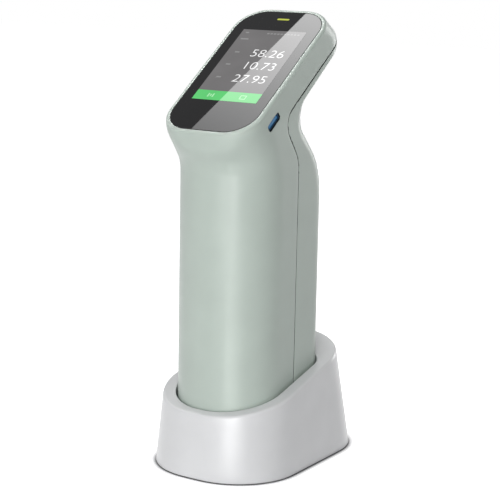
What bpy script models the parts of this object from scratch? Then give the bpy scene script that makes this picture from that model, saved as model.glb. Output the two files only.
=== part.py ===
"""Handheld sphere colorimeter with a leaning screen head, standing in its calibration base.

Metres, +Z up. The origin is under the middle of the base, on the surface it stands on.
The user faces the screen from -Y; the charging and data socket is on the +X side.
"""
import math

import bmesh
import bpy
from mathutils import Matrix, Vector
from mathutils.bvhtree import BVHTree

for leftover in list(bpy.data.objects):
    bpy.data.objects.remove(leftover)

# Clearances, the overrun that every cut shares and the distance under which points are one
GAP = 0.0003
SEAM_GAP = 0.0004
OVERRUN = 0.004
MERGE_DISTANCE = 0.000003

# Handle of the instrument, measured from its centre line and its bottom
HANDLE_WIDTH = 0.0538
HANDLE_DEPTH = 0.0662
HANDLE_FRONT_RADIUS = 0.0254
HANDLE_REAR_RADIUS = 0.0101
HANDLE_BOTTOM_ROUND = 0.001
HOUSING_WALL = 0.002

# Screen head: the glass centre stands over the handle's centre line, above the top of the chassis
GLASS_CENTRE_RISE = 0.0373
GLASS_LEAN = math.radians(34.85)
GLASS_SIDE_SETBACK = 0.0029
GLASS_LENGTH = 0.0904
GLASS_CORNER = 0.014
GLASS_THICKNESS = 0.0011
GLASS_EDGE_ROUND = 0.0003
GLASS_BED = 0.0002
LEDGE_THICKNESS = 0.0016
RIM_FLAT = 0.00035
RIM_ROUND = 0.0014
HEAD_DEPTH = 0.0168
HEAD_BACK_TAPER = 0.0007
HEAD_BACK_OVERHANG = 0.0032
HEAD_BACK_FRONT_RADIUS = 0.0169
HEAD_BACK_REAR_RADIUS = 0.0107
HEAD_BACK_ROUND = 0.006
HEAD_BACK_CHIN_ROUND = 0.014

# Bends between the handle and the head: drop below or rise above the chassis top, and reach from
# the centre line
FRONT_BEND_DROP = 0.0052
FRONT_BEND_ROUND = 0.0143
REAR_BEND_DROP = 0.0107
REAR_BEND_ROUND = 0.0305
CHIN_REACH = 0.0384
CHIN_RISE = 0.0021
CHIN_ROUND = 0.0164
NECK_REACH = 0.0076
NECK_RISE = 0.0195
NECK_ROUND = 0.0121
NECK_SPREAD = 0.0003
NECK_FRONT_RADIUS = 0.0223
NECK_REAR_RADIUS = 0.0122
LIP_CORNER_SHARE = 0.55

# Split line between the front and rear housings, seen from the side
SEAM_BUTTON_MARGIN = 0.00245
SEAM_BEND_DROP = 0.0042
SEAM_BEND_ROUND = 0.016
SEAM_ELBOW_REACH = 0.0092
SEAM_ELBOW_ROUND = 0.009
SEAM_HEAD_DEPTH = 0.0131

# Screw posts inside the housings
POST_RADIUS = 0.0026
POST_WEB = 0.0016
POST_LIFT = 0.0005
POST_TUNNEL_WALL = 0.0009
POST_FLOOR = 0.002
HEAD_POST_X = 0.017
HEAD_POST_UP = 0.0392
HEAD_POST_FLOOR = 0.001
SCREW_BORE = 0.0028
SCREW_HEAD_RADIUS = 0.0024
SCREW_HEAD_HEIGHT = 0.0016
SCREW_SHANK_RADIUS = 0.0011
SCREW_GRIP = 0.0075
HEAD_SCREW_HEAD_HEIGHT = 0.0009
HEX_RADIUS = 0.0011
HEX_DEPTH_SHARE = 0.6

# Display stack and boards, as depths below the glass
DISPLAY_UP = 0.0031
PANEL_WIDTH = 0.040
PANEL_LENGTH = 0.059
PANEL_THICKNESS = 0.0026
PANEL_CORNER = 0.001
FRAME_RIM = 0.0022
FRAME_FLOOR = 0.0012
FRAME_LEG_RADIUS = 0.0015
FRAME_LEG_INSET_X = 0.0035
FRAME_LEG_INSET_Y = 0.012
MAIN_BOARD_DEPTH = 0.00998
BOARD_THICKNESS = 0.0016
MAIN_BOARD_TOP = 0.0425
MAIN_BOARD_BOTTOM = 0.036
MAIN_BOARD_TOP_RADIUS = 0.012
MAIN_BOARD_BOTTOM_RADIUS = 0.003
LIGHT_SLOT_LENGTH = 0.0074
LIGHT_SLOT_WIDTH = 0.0016
LIGHT_SLOT_UP = 0.0392

# Socket on the right of the head and power key on its left
SIDE_PORT_DOWN = 0.0266
SOCKET_LENGTH = 0.00894
SOCKET_HEIGHT = 0.00316
SOCKET_SHEET = 0.0003
SOCKET_REACH = 0.0073
SOCKET_RECESS = 0.0006
SOCKET_SLOT_CLEARANCE = 0.0003
TONGUE_LENGTH = 0.0067
TONGUE_THICKNESS = 0.0009
TONGUE_EDGE = 0.0002
TONGUE_RECESS = 0.0008
POWER_KEY_LENGTH = 0.008
POWER_KEY_WIDTH = 0.0034
POWER_KEY_PROUD = 0.0005
POWER_KEY_TRAVEL = 0.0005
KEY_FLANGE = 0.0012
KEY_FLANGE_THICKNESS = 0.001
POWER_KEY_SEAT = 0.0014
SWITCH_REACH = 0.0030
SWITCH_WIDTH = 0.0048

# Measuring button on the left of the handle
BUTTON_DROP = 0.0192
BUTTON_BEHIND_SPINE = 0.0032
BUTTON_LENGTH = 0.022
BUTTON_WIDTH = 0.009
BUTTON_PROUD = 0.0008
BUTTON_TRAVEL = 0.0008
BUTTON_EDGE_ROUND = 0.0004
BUTTON_BOARD_LENGTH = 0.030
BUTTON_BOARD_WIDTH = 0.0125
BUTTON_SWITCH_SIDE = 0.006

# Integrating sphere at the bottom of the handle
CAP_THICKNESS = 0.003
SPHERE_SIDE_ROOM = 0.0006
SPHERE_WALL = 0.002
SPHERE_FLAT = 0.0018
SPHERE_FLANGE = 0.0023
SPHERE_FLANGE_THICKNESS = 0.0022
APERTURE_RADIUS = 0.007
MASK_OUTER_RADIUS = 0.012
MASK_INNER_RADIUS = 0.004
MASK_PROUD = 0.0006
MASK_LEDGE = 0.0012
MASK_SLEEVE_RADIUS = 0.0087
MASK_FUNNEL_RADIUS = 0.0065
VIEW_ANGLE = math.radians(8)
BARREL_RADIUS = 0.004
BARREL_WALL = 0.001
LAMP_RADIUS = 0.0025
LAMP_LENGTH = 0.0062
LAMP_BOARD_WIDTH = 0.036
LAMP_BOARD_HEIGHT = 0.008

# Chassis that carries the sphere, the spectrometer and the battery
SHELF_THICKNESS = 0.002
SPECTROMETER_ROOM = 0.0057
SPECTROMETER_SIDE_ROOM = 0.0059
SPECTROMETER_FRONT_ROOM = 0.0077
SPECTROMETER_HEIGHT = 0.016
SPECTROMETER_WALL = 0.002
SPECTROMETER_COVER = 0.0015
ENTRANCE_RADIUS = 0.0015
GRATING_WIDTH = 0.014
GRATING_THICKNESS = 0.003
SENSOR_SIDE_ROOM = 0.004
INNER_PART_HEIGHT = 0.011
REAR_COLUMN_WIDTH = 0.006
REAR_COLUMN_ROOM = 0.0006
REAR_COLUMN_SIDE_ROOM = 0.0099
CELL_RADIUS = 0.0092
CELL_LENGTH = 0.065
CELL_TIP_RADIUS = 0.003
CELL_TIP_HEIGHT = 0.0008
CELL_EDGE_ROUND = 0.0008
BATTERY_FRONT_ROOM = 0.0059
POWER_BOARD_SIDE_ROOM = 0.0033
POWER_BOARD_HEIGHT = 0.042
POWER_BOARD_LIFT = 0.004

# Calibration base
BASE_WIDTH = 0.0738
BASE_LENGTH = 0.1114
BASE_FRONT_RADIUS = 0.0322
BASE_REAR_RADIUS = 0.0328
BASE_SIDE_DRAFT = math.atan(0.0558)
BASE_FRONT_DRAFT = math.atan(0.0966)
BASE_REAR_DRAFT = math.atan(0.2256)
BASE_RADIUS_SHRINK_SHARE = 0.3
BASE_BOTTOM = 0.0007
BASE_BOTTOM_ROUND = 0.0012
RIM_MIDDLE_HEIGHT = 0.0447
RIM_SLOPE = math.atan(0.25)
BASE_RIM_ROUND = 0.0014
BASE_WALL = 0.0022
POCKET_WALL = 0.0018
POCKET_CLEARANCE = 0.00095
HANDLE_SETBACK = 0.0138
INSTRUMENT_HEIGHT = 0.014
PLATE_THICKNESS = 0.003
PLATE_LIFT = 0.0003
FOOT_RADIUS = 0.0055
FOOT_HEIGHT = 0.0016
FOOT_INSET = 0.0095
TILE_RADIUS = 0.015
TILE_THICKNESS = 0.004
HOLDER_WALL = 0.0014
HOLDER_FLANGE = 0.0045
HOLDER_FLANGE_THICKNESS = 0.0016
BASE_POST_RADIUS = 0.0032
FRONT_BASE_POST_X = 0.024
REAR_BASE_POST_X = 0.015
FRONT_BASE_POST_FORWARD = 0.0082
BASE_POST_RISE = 0.016
REAR_POST_SHARE = 0.75
BASE_SCREW_GRIP = 0.007
BASE_SCREW_FLOOR = 0.0014
BASE_SCREW_HEAD_HEIGHT = 0.0012

# Steps of the rounded shapes and the share of a leg that its rounds may fill
LEG_SHARE = 0.96
CORNER_STEPS = 8
BEND_STEPS = 4
CAVITY_CORNER_STEPS = 5
CAVITY_BEND_STEPS = 3
TURN_STEPS = 20
SMALL_TURN_STEPS = 12

# Finishes: colour, roughness, metallic
SAGE_PLASTIC = ((0.47, 0.53, 0.48, 1.0), 0.42, 0.0)
SILVER_PLASTIC = ((0.66, 0.67, 0.69, 1.0), 0.35, 0.0)
BLACK_PLASTIC = ((0.03, 0.03, 0.032, 1.0), 0.5, 0.0)
GREY_PLASTIC = ((0.25, 0.26, 0.27, 1.0), 0.5, 0.0)
BLACK_GLASS = ((0.02, 0.02, 0.022, 1.0), 0.05, 0.0)
PANEL_GREY = ((0.16, 0.16, 0.16, 1.0), 0.3, 0.0)
CLEAR_PLASTIC = ((0.70, 0.76, 0.35, 1.0), 0.2, 0.0)
BOARD_GREEN = ((0.03, 0.16, 0.07, 1.0), 0.5, 0.0)
STEEL = ((0.55, 0.56, 0.58, 1.0), 0.3, 1.0)
BLUE_PLASTIC = ((0.03, 0.17, 0.50, 1.0), 0.4, 0.0)
WHITE_COATING = ((0.86, 0.86, 0.84, 1.0), 0.9, 0.0)
WHITE_CERAMIC = ((0.88, 0.88, 0.86, 1.0), 0.25, 0.0)
BLACK_METAL = ((0.04, 0.04, 0.045, 1.0), 0.4, 1.0)
BATTERY_WRAP = ((0.05, 0.20, 0.42, 1.0), 0.4, 0.0)
LAMP_CLEAR = ((0.85, 0.85, 0.75, 1.0), 0.1, 0.0)
RUBBER = ((0.03, 0.03, 0.03, 1.0), 0.85, 0.0)


# Outlines

def arc(centre_x, centre_y, radius, start, end, steps):
    """Points of an arc from start to end, both ends included."""
    angles = [start + (end - start) * step / steps for step in range(steps + 1)]
    return [(centre_x + radius * math.cos(angle), centre_y + radius * math.sin(angle)) for angle in angles]


def plan_outline(half_width, front, rear, front_radius, rear_radius, steps):
    """Closed outline, symmetric about x = 0, that runs from the front middle round by +X."""
    front_round = min(front_radius, half_width)
    rear_round = min(rear_radius, half_width)
    right = arc(half_width - front_round, front + front_round, front_round, -math.pi / 2, 0.0, steps)
    right += arc(half_width - rear_round, rear - rear_round, rear_round, 0.0, math.pi / 2, steps)
    if half_width - front_round > MERGE_DISTANCE:
        right.insert(0, (0.0, front))
    else:
        right[0] = (0.0, front)
    if half_width - rear_round > MERGE_DISTANCE:
        right.append((0.0, rear))
    else:
        right[-1] = (0.0, rear)
    left = [(-x, y) for x, y in reversed(right[1:-1])]
    return right + left


def rounded_rectangle(width, length, radius, steps=4):
    return plan_outline(width / 2, -length / 2, length / 2, radius, radius, steps)


def grown(outline_values, amount):
    """Half width, front, rear and both radii of a plan outline moved outward by an amount."""
    half_width, front, rear, front_radius, rear_radius = outline_values
    return (half_width + amount, front - amount, rear + amount, front_radius + amount, rear_radius + amount)


def eased(share):
    return share * share * (3 - 2 * share)


# Mesh and object helpers

def material(name, finish):
    colour, roughness, metallic = finish
    surface = bpy.data.materials.new(name)
    surface.use_nodes = True
    shader = surface.node_tree.nodes["Principled BSDF"]
    shader.inputs["Base Color"].default_value = colour
    shader.inputs["Roughness"].default_value = roughness
    shader.inputs["Metallic"].default_value = metallic
    return surface


def new_object(name, mesh_builder, parent=None):
    """Turn a finished bmesh into an object in the scene."""
    bmesh.ops.recalc_face_normals(mesh_builder, faces=mesh_builder.faces)
    mesh = bpy.data.meshes.new(name)
    mesh_builder.to_mesh(mesh)
    mesh_builder.free()
    mesh.shade_smooth()
    mesh.set_sharp_from_angle(angle=math.radians(30))
    thing = bpy.data.objects.new(name, mesh)
    bpy.context.collection.objects.link(thing)
    thing.parent = parent
    return thing


def dressed(thing, finish):
    thing.data.materials.clear()
    thing.data.materials.append(material(thing.name, finish))
    return thing


def combine(target, tool, operation):
    """Apply an exact Boolean and throw the tool away."""
    step = target.modifiers.new(operation.lower(), "BOOLEAN")
    step.operation = operation
    step.solver = "EXACT"
    step.object = tool
    tool.hide_render = True
    tool.display_type = "WIRE"
    bpy.context.view_layer.update()
    result = bpy.data.meshes.new_from_object(target.evaluated_get(bpy.context.evaluated_depsgraph_get()))
    target.modifiers.clear()
    target.data = result
    bpy.data.objects.remove(tool)
    return target


def cut(target, *tools):
    for tool in tools:
        combine(target, tool, "DIFFERENCE")
    return target


def fuse(target, *tools):
    for tool in tools:
        combine(target, tool, "UNION")
    return target


def extruded(name, outline, bottom, top, parent=None, turn=Matrix()):
    """Prism over an outline in the XY plane, from bottom to top, then turned."""
    builder = bmesh.new()
    corners = [builder.verts.new((x, y, bottom)) for x, y in outline]
    face = builder.faces.new(corners)
    walls = bmesh.ops.extrude_face_region(builder, geom=[face])
    lifted = [item for item in walls["geom"] if isinstance(item, bmesh.types.BMVert)]
    bmesh.ops.translate(builder, verts=lifted, vec=(0.0, 0.0, top - bottom))
    bmesh.ops.transform(builder, matrix=turn, verts=builder.verts)
    return new_object(name, builder, parent)


def box(name, low, high, parent=None):
    builder = bmesh.new()
    bmesh.ops.create_cube(builder, size=1)
    size = [high[axis] - low[axis] for axis in range(3)]
    middle = [(high[axis] + low[axis]) / 2 for axis in range(3)]
    bmesh.ops.transform(builder, matrix=Matrix.Diagonal(size).to_4x4(), verts=builder.verts)
    bmesh.ops.translate(builder, verts=builder.verts, vec=middle)
    return new_object(name, builder, parent)


def turned(name, profile, steps=TURN_STEPS, parent=None, turn=Matrix()):
    """Turn a closed profile of (radius, height) points round the Z axis."""
    builder = bmesh.new()
    points = [builder.verts.new((radius, 0.0, height)) for radius, height in profile]
    edges = [builder.edges.new((points[i], points[(i + 1) % len(points)])) for i in range(len(points))]
    bmesh.ops.spin(builder, geom=points + edges, cent=(0.0, 0.0, 0.0), axis=(0.0, 0.0, 1.0),
                   angle=math.tau, steps=steps, use_merge=True)
    bmesh.ops.remove_doubles(builder, verts=builder.verts, dist=MERGE_DISTANCE)
    bmesh.ops.dissolve_degenerate(builder, edges=builder.edges, dist=MERGE_DISTANCE)
    bmesh.ops.transform(builder, matrix=turn, verts=builder.verts)
    return new_object(name, builder, parent)


def rod(name, radius, bottom, top, steps=SMALL_TURN_STEPS, parent=None, turn=Matrix()):
    outline = arc(0.0, 0.0, radius, 0.0, math.tau, steps)[:-1]
    return extruded(name, outline, bottom, top, parent, turn)


def loft(name, rings, parent=None):
    """Skin equal rings of points one after another and close both ends."""
    builder = bmesh.new()
    bmesh.ops.create_circle(builder, cap_ends=True, segments=len(rings[0]), radius=1)
    loop = list(builder.verts)
    edges = list(builder.edges)
    for vertex, point in zip(loop, rings[0]):
        vertex.co = point
    for ring in rings[1:]:
        made = bmesh.ops.extrude_edge_only(builder, edges=edges)["geom"]
        fresh = {item for item in made if isinstance(item, bmesh.types.BMVert)}
        edges = [item for item in made if isinstance(item, bmesh.types.BMEdge)]
        loop = [next(edge.other_vert(vertex) for edge in vertex.link_edges
                     if edge.other_vert(vertex) in fresh) for vertex in loop]
        for vertex, point in zip(loop, ring):
            vertex.co = point
    bmesh.ops.edgenet_fill(builder, edges=edges)
    bmesh.ops.dissolve_degenerate(builder, edges=builder.edges, dist=MERGE_DISTANCE)
    return new_object(name, builder, parent)


def leg_room(leg, mine, other):
    """Length of a leg that one of the two rounds beside it may take."""
    return leg.length * LEG_SHARE * mine / max(mine + other, GAP)


def softened(corners, rounds, steps):
    """Round the inner corners of a path; rounds that meet on one leg divide it by their size."""
    last = len(corners) - 1
    backward = [corners[index - 1] - corners[index] for index in range(1, last)]
    forward = [corners[index + 1] - corners[index] for index in range(1, last)]
    openings = [back.angle(ahead) for back, ahead in zip(backward, forward)]
    wanted = [radius / math.tan(opening / 2) for radius, opening in zip(rounds[1:last], openings)]
    beside = [0.0] + wanted + [0.0]
    path = [corners[0]]
    for index, corner in enumerate(corners[1:last]):
        back = backward[index]
        ahead = forward[index]
        reach = min(wanted[index], leg_room(back, wanted[index], beside[index]),
                    leg_room(ahead, wanted[index], beside[index + 2]))
        start = corner + back.normalized() * reach
        end = corner + ahead.normalized() * reach
        weight = math.sin(openings[index] / 2)
        for step in range(steps + 1):
            t = step / steps
            near = (1 - t) ** 2
            middle = 2 * t * (1 - t) * weight
            far = t ** 2
            path.append((start * near + corner * middle + end * far) / (near + middle + far))
    path.append(corners[-1])
    return path


# Side view geometry, as (y, z) points of the handle's middle plane

def offset_path(points, amount):
    """Move an open path to its left by an amount, keeping its corners sharp."""
    legs = [(points[i + 1] - points[i]).normalized() for i in range(len(points) - 1)]
    sides = [Vector((-leg.y, leg.x)) * amount for leg in legs]
    moved = [points[0] + sides[0]]
    for index in range(1, len(legs)):
        moved.append(crossing(points[index] + sides[index - 1], legs[index - 1],
                              points[index] + sides[index], legs[index]))
    moved.append(points[-1] + sides[-1])
    return moved


def crossing(start, direction, other_start, other_direction):
    """Where two lines of the side view meet."""
    turn = direction.x * other_direction.y - direction.y * other_direction.x
    gap = other_start - start
    reach = (gap.x * other_direction.y - gap.y * other_direction.x) / turn
    return start + direction * reach


INNER_HALF_WIDTH = HANDLE_WIDTH / 2 - HOUSING_WALL
INNER_HALF_DEPTH = HANDLE_DEPTH / 2 - HOUSING_WALL

# Stack inside the handle, from the measuring end up
FLANGE_RADIUS = INNER_HALF_WIDTH - SPHERE_SIDE_ROOM
SPHERE_RADIUS = FLANGE_RADIUS - SPHERE_FLANGE
SPHERE_INNER_RADIUS = SPHERE_RADIUS - SPHERE_WALL
SPHERE_CENTRE = CAP_THICKNESS + GAP + SPHERE_RADIUS - SPHERE_FLAT
LOWER_SHELF = SPHERE_CENTRE + GAP / 2 + SPHERE_FLANGE_THICKNESS + GAP
MIDDLE_SHELF = SPHERE_CENTRE + SPHERE_RADIUS + SPECTROMETER_ROOM
SPECTROMETER_FLOOR = MIDDLE_SHELF + SHELF_THICKNESS + GAP
SPECTROMETER_TOP = SPECTROMETER_FLOOR + SPECTROMETER_HEIGHT
UPPER_SHELF = SPECTROMETER_TOP + GAP + SPECTROMETER_COVER + GAP
CELL_FOOT = UPPER_SHELF + SHELF_THICKNESS + GAP
CELL_SHELF = CELL_FOOT + CELL_LENGTH + GAP
CHASSIS_TOP = CELL_SHELF + SHELF_THICKNESS

# Cells, spine, measuring button and split line, one behind the other
BATTERY_FORWARD = INNER_HALF_DEPTH - CELL_RADIUS - BATTERY_FRONT_ROOM
SPINE_FRONT = CELL_RADIUS + GAP - BATTERY_FORWARD
SPINE_REAR = SPINE_FRONT + SHELF_THICKNESS
BUTTON_FORWARD = -SPINE_REAR - BUTTON_BEHIND_SPINE
SEAM_SETBACK = BUTTON_WIDTH / 2 + SEAM_BUTTON_MARGIN - BUTTON_FORWARD

# Heights of the bends, the glass and the button
FRONT_BEND_HEIGHT = CHASSIS_TOP - FRONT_BEND_DROP
REAR_BEND_HEIGHT = CHASSIS_TOP - REAR_BEND_DROP
CHIN_HEIGHT = CHASSIS_TOP + CHIN_RISE
NECK_HEIGHT = CHASSIS_TOP + NECK_RISE
SEAM_BEND_HEIGHT = CHASSIS_TOP - SEAM_BEND_DROP
BUTTON_HEIGHT = CHASSIS_TOP - BUTTON_DROP
GLASS_CENTRE_HEIGHT = CHASSIS_TOP + GLASS_CENTRE_RISE

GLASS_ALONG = Vector((math.cos(GLASS_LEAN), math.sin(GLASS_LEAN)))
GLASS_OUTWARD = Vector((-math.sin(GLASS_LEAN), math.cos(GLASS_LEAN)))
HEAD = Matrix.Translation((0.0, 0.0, GLASS_CENTRE_HEIGHT)) @ Matrix.Rotation(GLASS_LEAN, 4, "X")
SIDEWAYS = Matrix(((0, 0, 1, 0), (1, 0, 0, 0), (0, 1, 0, 0), (0, 0, 0, 1)))
TO_REAR = Matrix.Rotation(-math.pi / 2, 4, "X")
UPSIDE_DOWN = Matrix.Rotation(math.pi, 4, "X")

GLASS_WIDTH = HANDLE_WIDTH - 2 * GLASS_SIDE_SETBACK
HEAD_BACK_WIDTH = HANDLE_WIDTH - HEAD_BACK_TAPER
NECK_WIDTH = HANDLE_WIDTH + NECK_SPREAD
RIM = GAP + RIM_FLAT + RIM_ROUND
HEAD_HALF_LENGTH = GLASS_LENGTH / 2 + RIM
HEAD_HALF_WIDTH = GLASS_WIDTH / 2 + RIM
BED_DEPTH = GLASS_THICKNESS + GLASS_BED
ROOF_DEPTH = BED_DEPTH + LEDGE_THICKNESS


def head_point(up, depth):
    """Side view point at a distance up the glass from its centre and a depth below it."""
    return Vector((0.0, GLASS_CENTRE_HEIGHT)) + GLASS_ALONG * up - GLASS_OUTWARD * depth


def front_profile():
    chin = Vector((-CHIN_REACH, CHIN_HEIGHT))
    lip = head_point(-HEAD_HALF_LENGTH, 0.0)
    return [Vector((-HANDLE_DEPTH / 2, 0.0)), Vector((-HANDLE_DEPTH / 2, FRONT_BEND_HEIGHT)), chin,
            chin.lerp(lip, LIP_CORNER_SHARE), lip]


def rear_profile():
    return [Vector((HANDLE_DEPTH / 2, 0.0)), Vector((HANDLE_DEPTH / 2, REAR_BEND_HEIGHT)),
            Vector((NECK_REACH, NECK_HEIGHT)), head_point(HEAD_HALF_LENGTH + HEAD_BACK_OVERHANG, HEAD_DEPTH),
            head_point(HEAD_HALF_LENGTH, 0.0)]


def plan_sizes():
    """Half width, front radius, rear radius and the front and rear rounds at each level."""
    corner = GLASS_CORNER + RIM
    handle = (HANDLE_WIDTH / 2, HANDLE_FRONT_RADIUS, HANDLE_REAR_RADIUS)
    foot = handle + (HANDLE_BOTTOM_ROUND, HANDLE_BOTTOM_ROUND)
    bend = handle + (FRONT_BEND_ROUND, REAR_BEND_ROUND)
    neck = (NECK_WIDTH / 2, NECK_FRONT_RADIUS, NECK_REAR_RADIUS, CHIN_ROUND, NECK_ROUND)
    back = (HEAD_BACK_WIDTH / 2, HEAD_BACK_FRONT_RADIUS, HEAD_BACK_REAR_RADIUS, HEAD_BACK_CHIN_ROUND,
            HEAD_BACK_ROUND)
    return [foot, bend, neck, back, (HEAD_HALF_WIDTH, corner, corner, RIM_ROUND, RIM_ROUND)]


def level_ring(front, rear, half_width, front_radius, rear_radius, steps):
    """Points of one level and how far back each one lies, as a share."""
    along = (rear - front).normalized()
    length = (rear - front).length
    outline = plan_outline(half_width, 0.0, length, front_radius, rear_radius, steps)
    points = [Vector((x, front.x + along.x * back, front.y + along.y * back)) for x, back in outline]
    return points, [back / length for x, back in outline]


def housing_skin(name, inset, corner_steps, bend_steps, parent):
    """The moulded body as a loft; an inset above zero gives the room inside its walls."""
    front = offset_path(front_profile(), -inset)
    rear = offset_path(rear_profile(), inset)
    levels = []
    for start, end, sizes in zip(front, rear, plan_sizes()):
        half_width, front_radius, rear_radius, front_round, rear_round = sizes
        levels.append([start, end, half_width - inset, front_radius - inset, rear_radius - inset,
                       front_round, rear_round])
    if inset:
        levels[0][0] = levels[0][0] - Vector((0.0, OVERRUN))
        levels[0][1] = levels[0][1] - Vector((0.0, OVERRUN))
        roof = head_point(0.0, ROOF_DEPTH)
        levels[-1][0] = crossing(front[-2], front[-1] - front[-2], roof, GLASS_ALONG)
        levels[-1][1] = crossing(rear[-2], rear[-1] - rear[-2], roof, GLASS_ALONG)
        closed = levels
    else:
        tuck = 2 * HANDLE_BOTTOM_ROUND
        half_width, front_radius, rear_radius = (size - tuck for size in levels[0][2:5])
        foot = [levels[0][0] + Vector((tuck, 0.0)), levels[0][1] - Vector((tuck, 0.0)),
                half_width, front_radius, rear_radius, 0.0, 0.0]
        seat_half = GLASS_LENGTH / 2 + GAP
        seat = [head_point(-seat_half, 0.0), head_point(seat_half, 0.0), GLASS_WIDTH / 2 + GAP,
                GLASS_CORNER + GAP, GLASS_CORNER + GAP, 0.0, 0.0]
        closed = [foot] + levels + [seat]
    rings = []
    shares = []
    for start, end, half_width, front_radius, rear_radius, front_round, rear_round in closed:
        points, back = level_ring(start, end, half_width, front_radius, rear_radius, corner_steps)
        rings.append(points)
        shares.append([front_round + (rear_round - front_round) * eased(share) for share in back])
    spokes = []
    for index in range(len(rings[0])):
        corners = [ring[index] for ring in rings]
        rounds = [share[index] for share in shares]
        spokes.append(softened(corners, rounds, bend_steps))
    return loft(name, [list(ring) for ring in zip(*spokes)], parent)


def seam_side(name, offset, parent):
    """Everything behind the split line moved forward by an offset, or in front of it for one below zero."""
    elbow_line = head_point(0.0, SEAM_HEAD_DEPTH)
    elbow = crossing(Vector((-SEAM_ELBOW_REACH, 0.0)), Vector((0.0, 1.0)), elbow_line, GLASS_ALONG)
    end = elbow + GLASS_ALONG * GLASS_LENGTH
    corners = [Vector((SEAM_SETBACK, -OVERRUN)), Vector((SEAM_SETBACK, SEAM_BEND_HEIGHT)), elbow, end]
    rounds = [0.0, SEAM_BEND_ROUND, SEAM_ELBOW_ROUND, 0.0]
    path = softened(offset_path(corners, offset), rounds, BEND_STEPS + 2)
    outline = [tuple(point) for point in path]
    if offset > 0:
        outline += [(end.x + OVERRUN, end.y), (end.x + OVERRUN, -OVERRUN)]
    else:
        above = end.y + OVERRUN
        ahead = end.x - 2 * GLASS_LENGTH
        outline += [(end.x, above), (ahead, above), (ahead, -OVERRUN)]
    return extruded(name, outline, -HANDLE_WIDTH, HANDLE_WIDTH, parent, SIDEWAYS)


# Screws and the posts that take them

POST_X = INNER_HALF_WIDTH - POST_RADIUS - POST_LIFT
TUNNEL_RADIUS = SCREW_BORE + POST_TUNNEL_WALL
HANDLE_POST_HEIGHT = CAP_THICKNESS + TUNNEL_RADIUS + POST_LIFT
HANDLE_POSTS = [(side * POST_X, HANDLE_POST_HEIGHT) for side in (-1, 1)]
HEAD_POSTS = [(side * HEAD_POST_X, HEAD_POST_UP) for side in (-1, 1)]


def handle_screw_axis(x, height):
    return Matrix.Translation((x, SEAM_SETBACK, height)) @ TO_REAR


def head_screw_axis(x, up):
    return HEAD @ Matrix.Translation((x, up, -SEAM_HEAD_DEPTH)) @ UPSIDE_DOWN


def screw_bore(axis, floor, reach, parent):
    """Stepped bore round an axis that points outward from the split line."""
    shank = SCREW_SHANK_RADIUS + GAP
    bottom = -SCREW_GRIP - GAP
    profile = [(0.0, bottom), (shank, bottom), (shank, floor), (SCREW_BORE, floor), (SCREW_BORE, reach),
               (0.0, reach)]
    return turned("bore", profile, SMALL_TURN_STEPS, parent, axis)


def screw(name, axis, floor, head_height, grip, parent):
    """Cap screw with a hexagonal recess, its head seated on the floor of its bore."""
    seat = floor + GAP
    top = seat + head_height
    shank = SCREW_SHANK_RADIUS
    rim = SCREW_HEAD_RADIUS
    profile = [(0.0, -grip), (shank, -grip), (shank, seat), (rim, seat), (rim, top), (0.0, top)]
    body = turned(name, profile, SMALL_TURN_STEPS, parent, axis)
    recess = rod("recess", HEX_RADIUS, top - head_height * HEX_DEPTH_SHARE, top + OVERRUN, 6, parent, axis)
    return dressed(cut(body, recess), STEEL)


def housing_room(parent):
    """The room inside the walls, less the screw posts and the webs that tie them to the side walls."""
    room = housing_skin("room", HOUSING_WALL, CAVITY_CORNER_STEPS, CAVITY_BEND_STEPS, parent)
    half_depth = HANDLE_DEPTH / 2
    for x, height in HANDLE_POSTS:
        axis = Matrix.Translation((x, 0.0, height)) @ TO_REAR
        web_end = math.copysign(HANDLE_WIDTH / 2, x)
        web = box("web", (min(x, web_end), -half_depth, height - POST_WEB / 2),
                  (max(x, web_end), half_depth, height + POST_WEB / 2), parent)
        post = rod("post", POST_RADIUS, -half_depth, half_depth, SMALL_TURN_STEPS, parent, axis)
        tunnel = rod("tunnel", TUNNEL_RADIUS, SEAM_SETBACK, half_depth, SMALL_TURN_STEPS, parent, axis)
        cut(room, post, tunnel, web)
    for x, up in HEAD_POSTS:
        axis = HEAD @ Matrix.Translation((x, up, 0.0))
        post = rod("post", POST_RADIUS, -HEAD_DEPTH, 0.0, SMALL_TURN_STEPS, parent, axis)
        tunnel = rod("tunnel", TUNNEL_RADIUS, -HEAD_DEPTH, -SEAM_HEAD_DEPTH, SMALL_TURN_STEPS, parent, axis)
        cut(room, post, tunnel)
    return room


def screw_bores(parent):
    handle_floor = SEAM_GAP / 2 + POST_FLOOR
    head_floor = SEAM_GAP / 2 + HEAD_POST_FLOOR
    bores = []
    for post in HANDLE_POSTS:
        bores.append(screw_bore(handle_screw_axis(*post), handle_floor, HANDLE_DEPTH, parent))
    for post in HEAD_POSTS:
        bores.append(screw_bore(head_screw_axis(*post), head_floor, HEAD_DEPTH, parent))
    return bores


# Places of the socket and the keys

def side_reach(place):
    """How far the housing's side stands from the middle plane, level with a place inside it."""
    skin = housing_skin("gauge", 0.0, CORNER_STEPS, BEND_STEPS, None)
    tree = BVHTree.FromObject(skin, bpy.context.evaluated_depsgraph_get())
    outside = place.translation + Vector((HANDLE_WIDTH, 0.0, 0.0))
    hit = tree.ray_cast(outside, Vector((-1.0, 0.0, 0.0)))[0]
    bpy.data.objects.remove(skin)
    return hit.x


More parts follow.
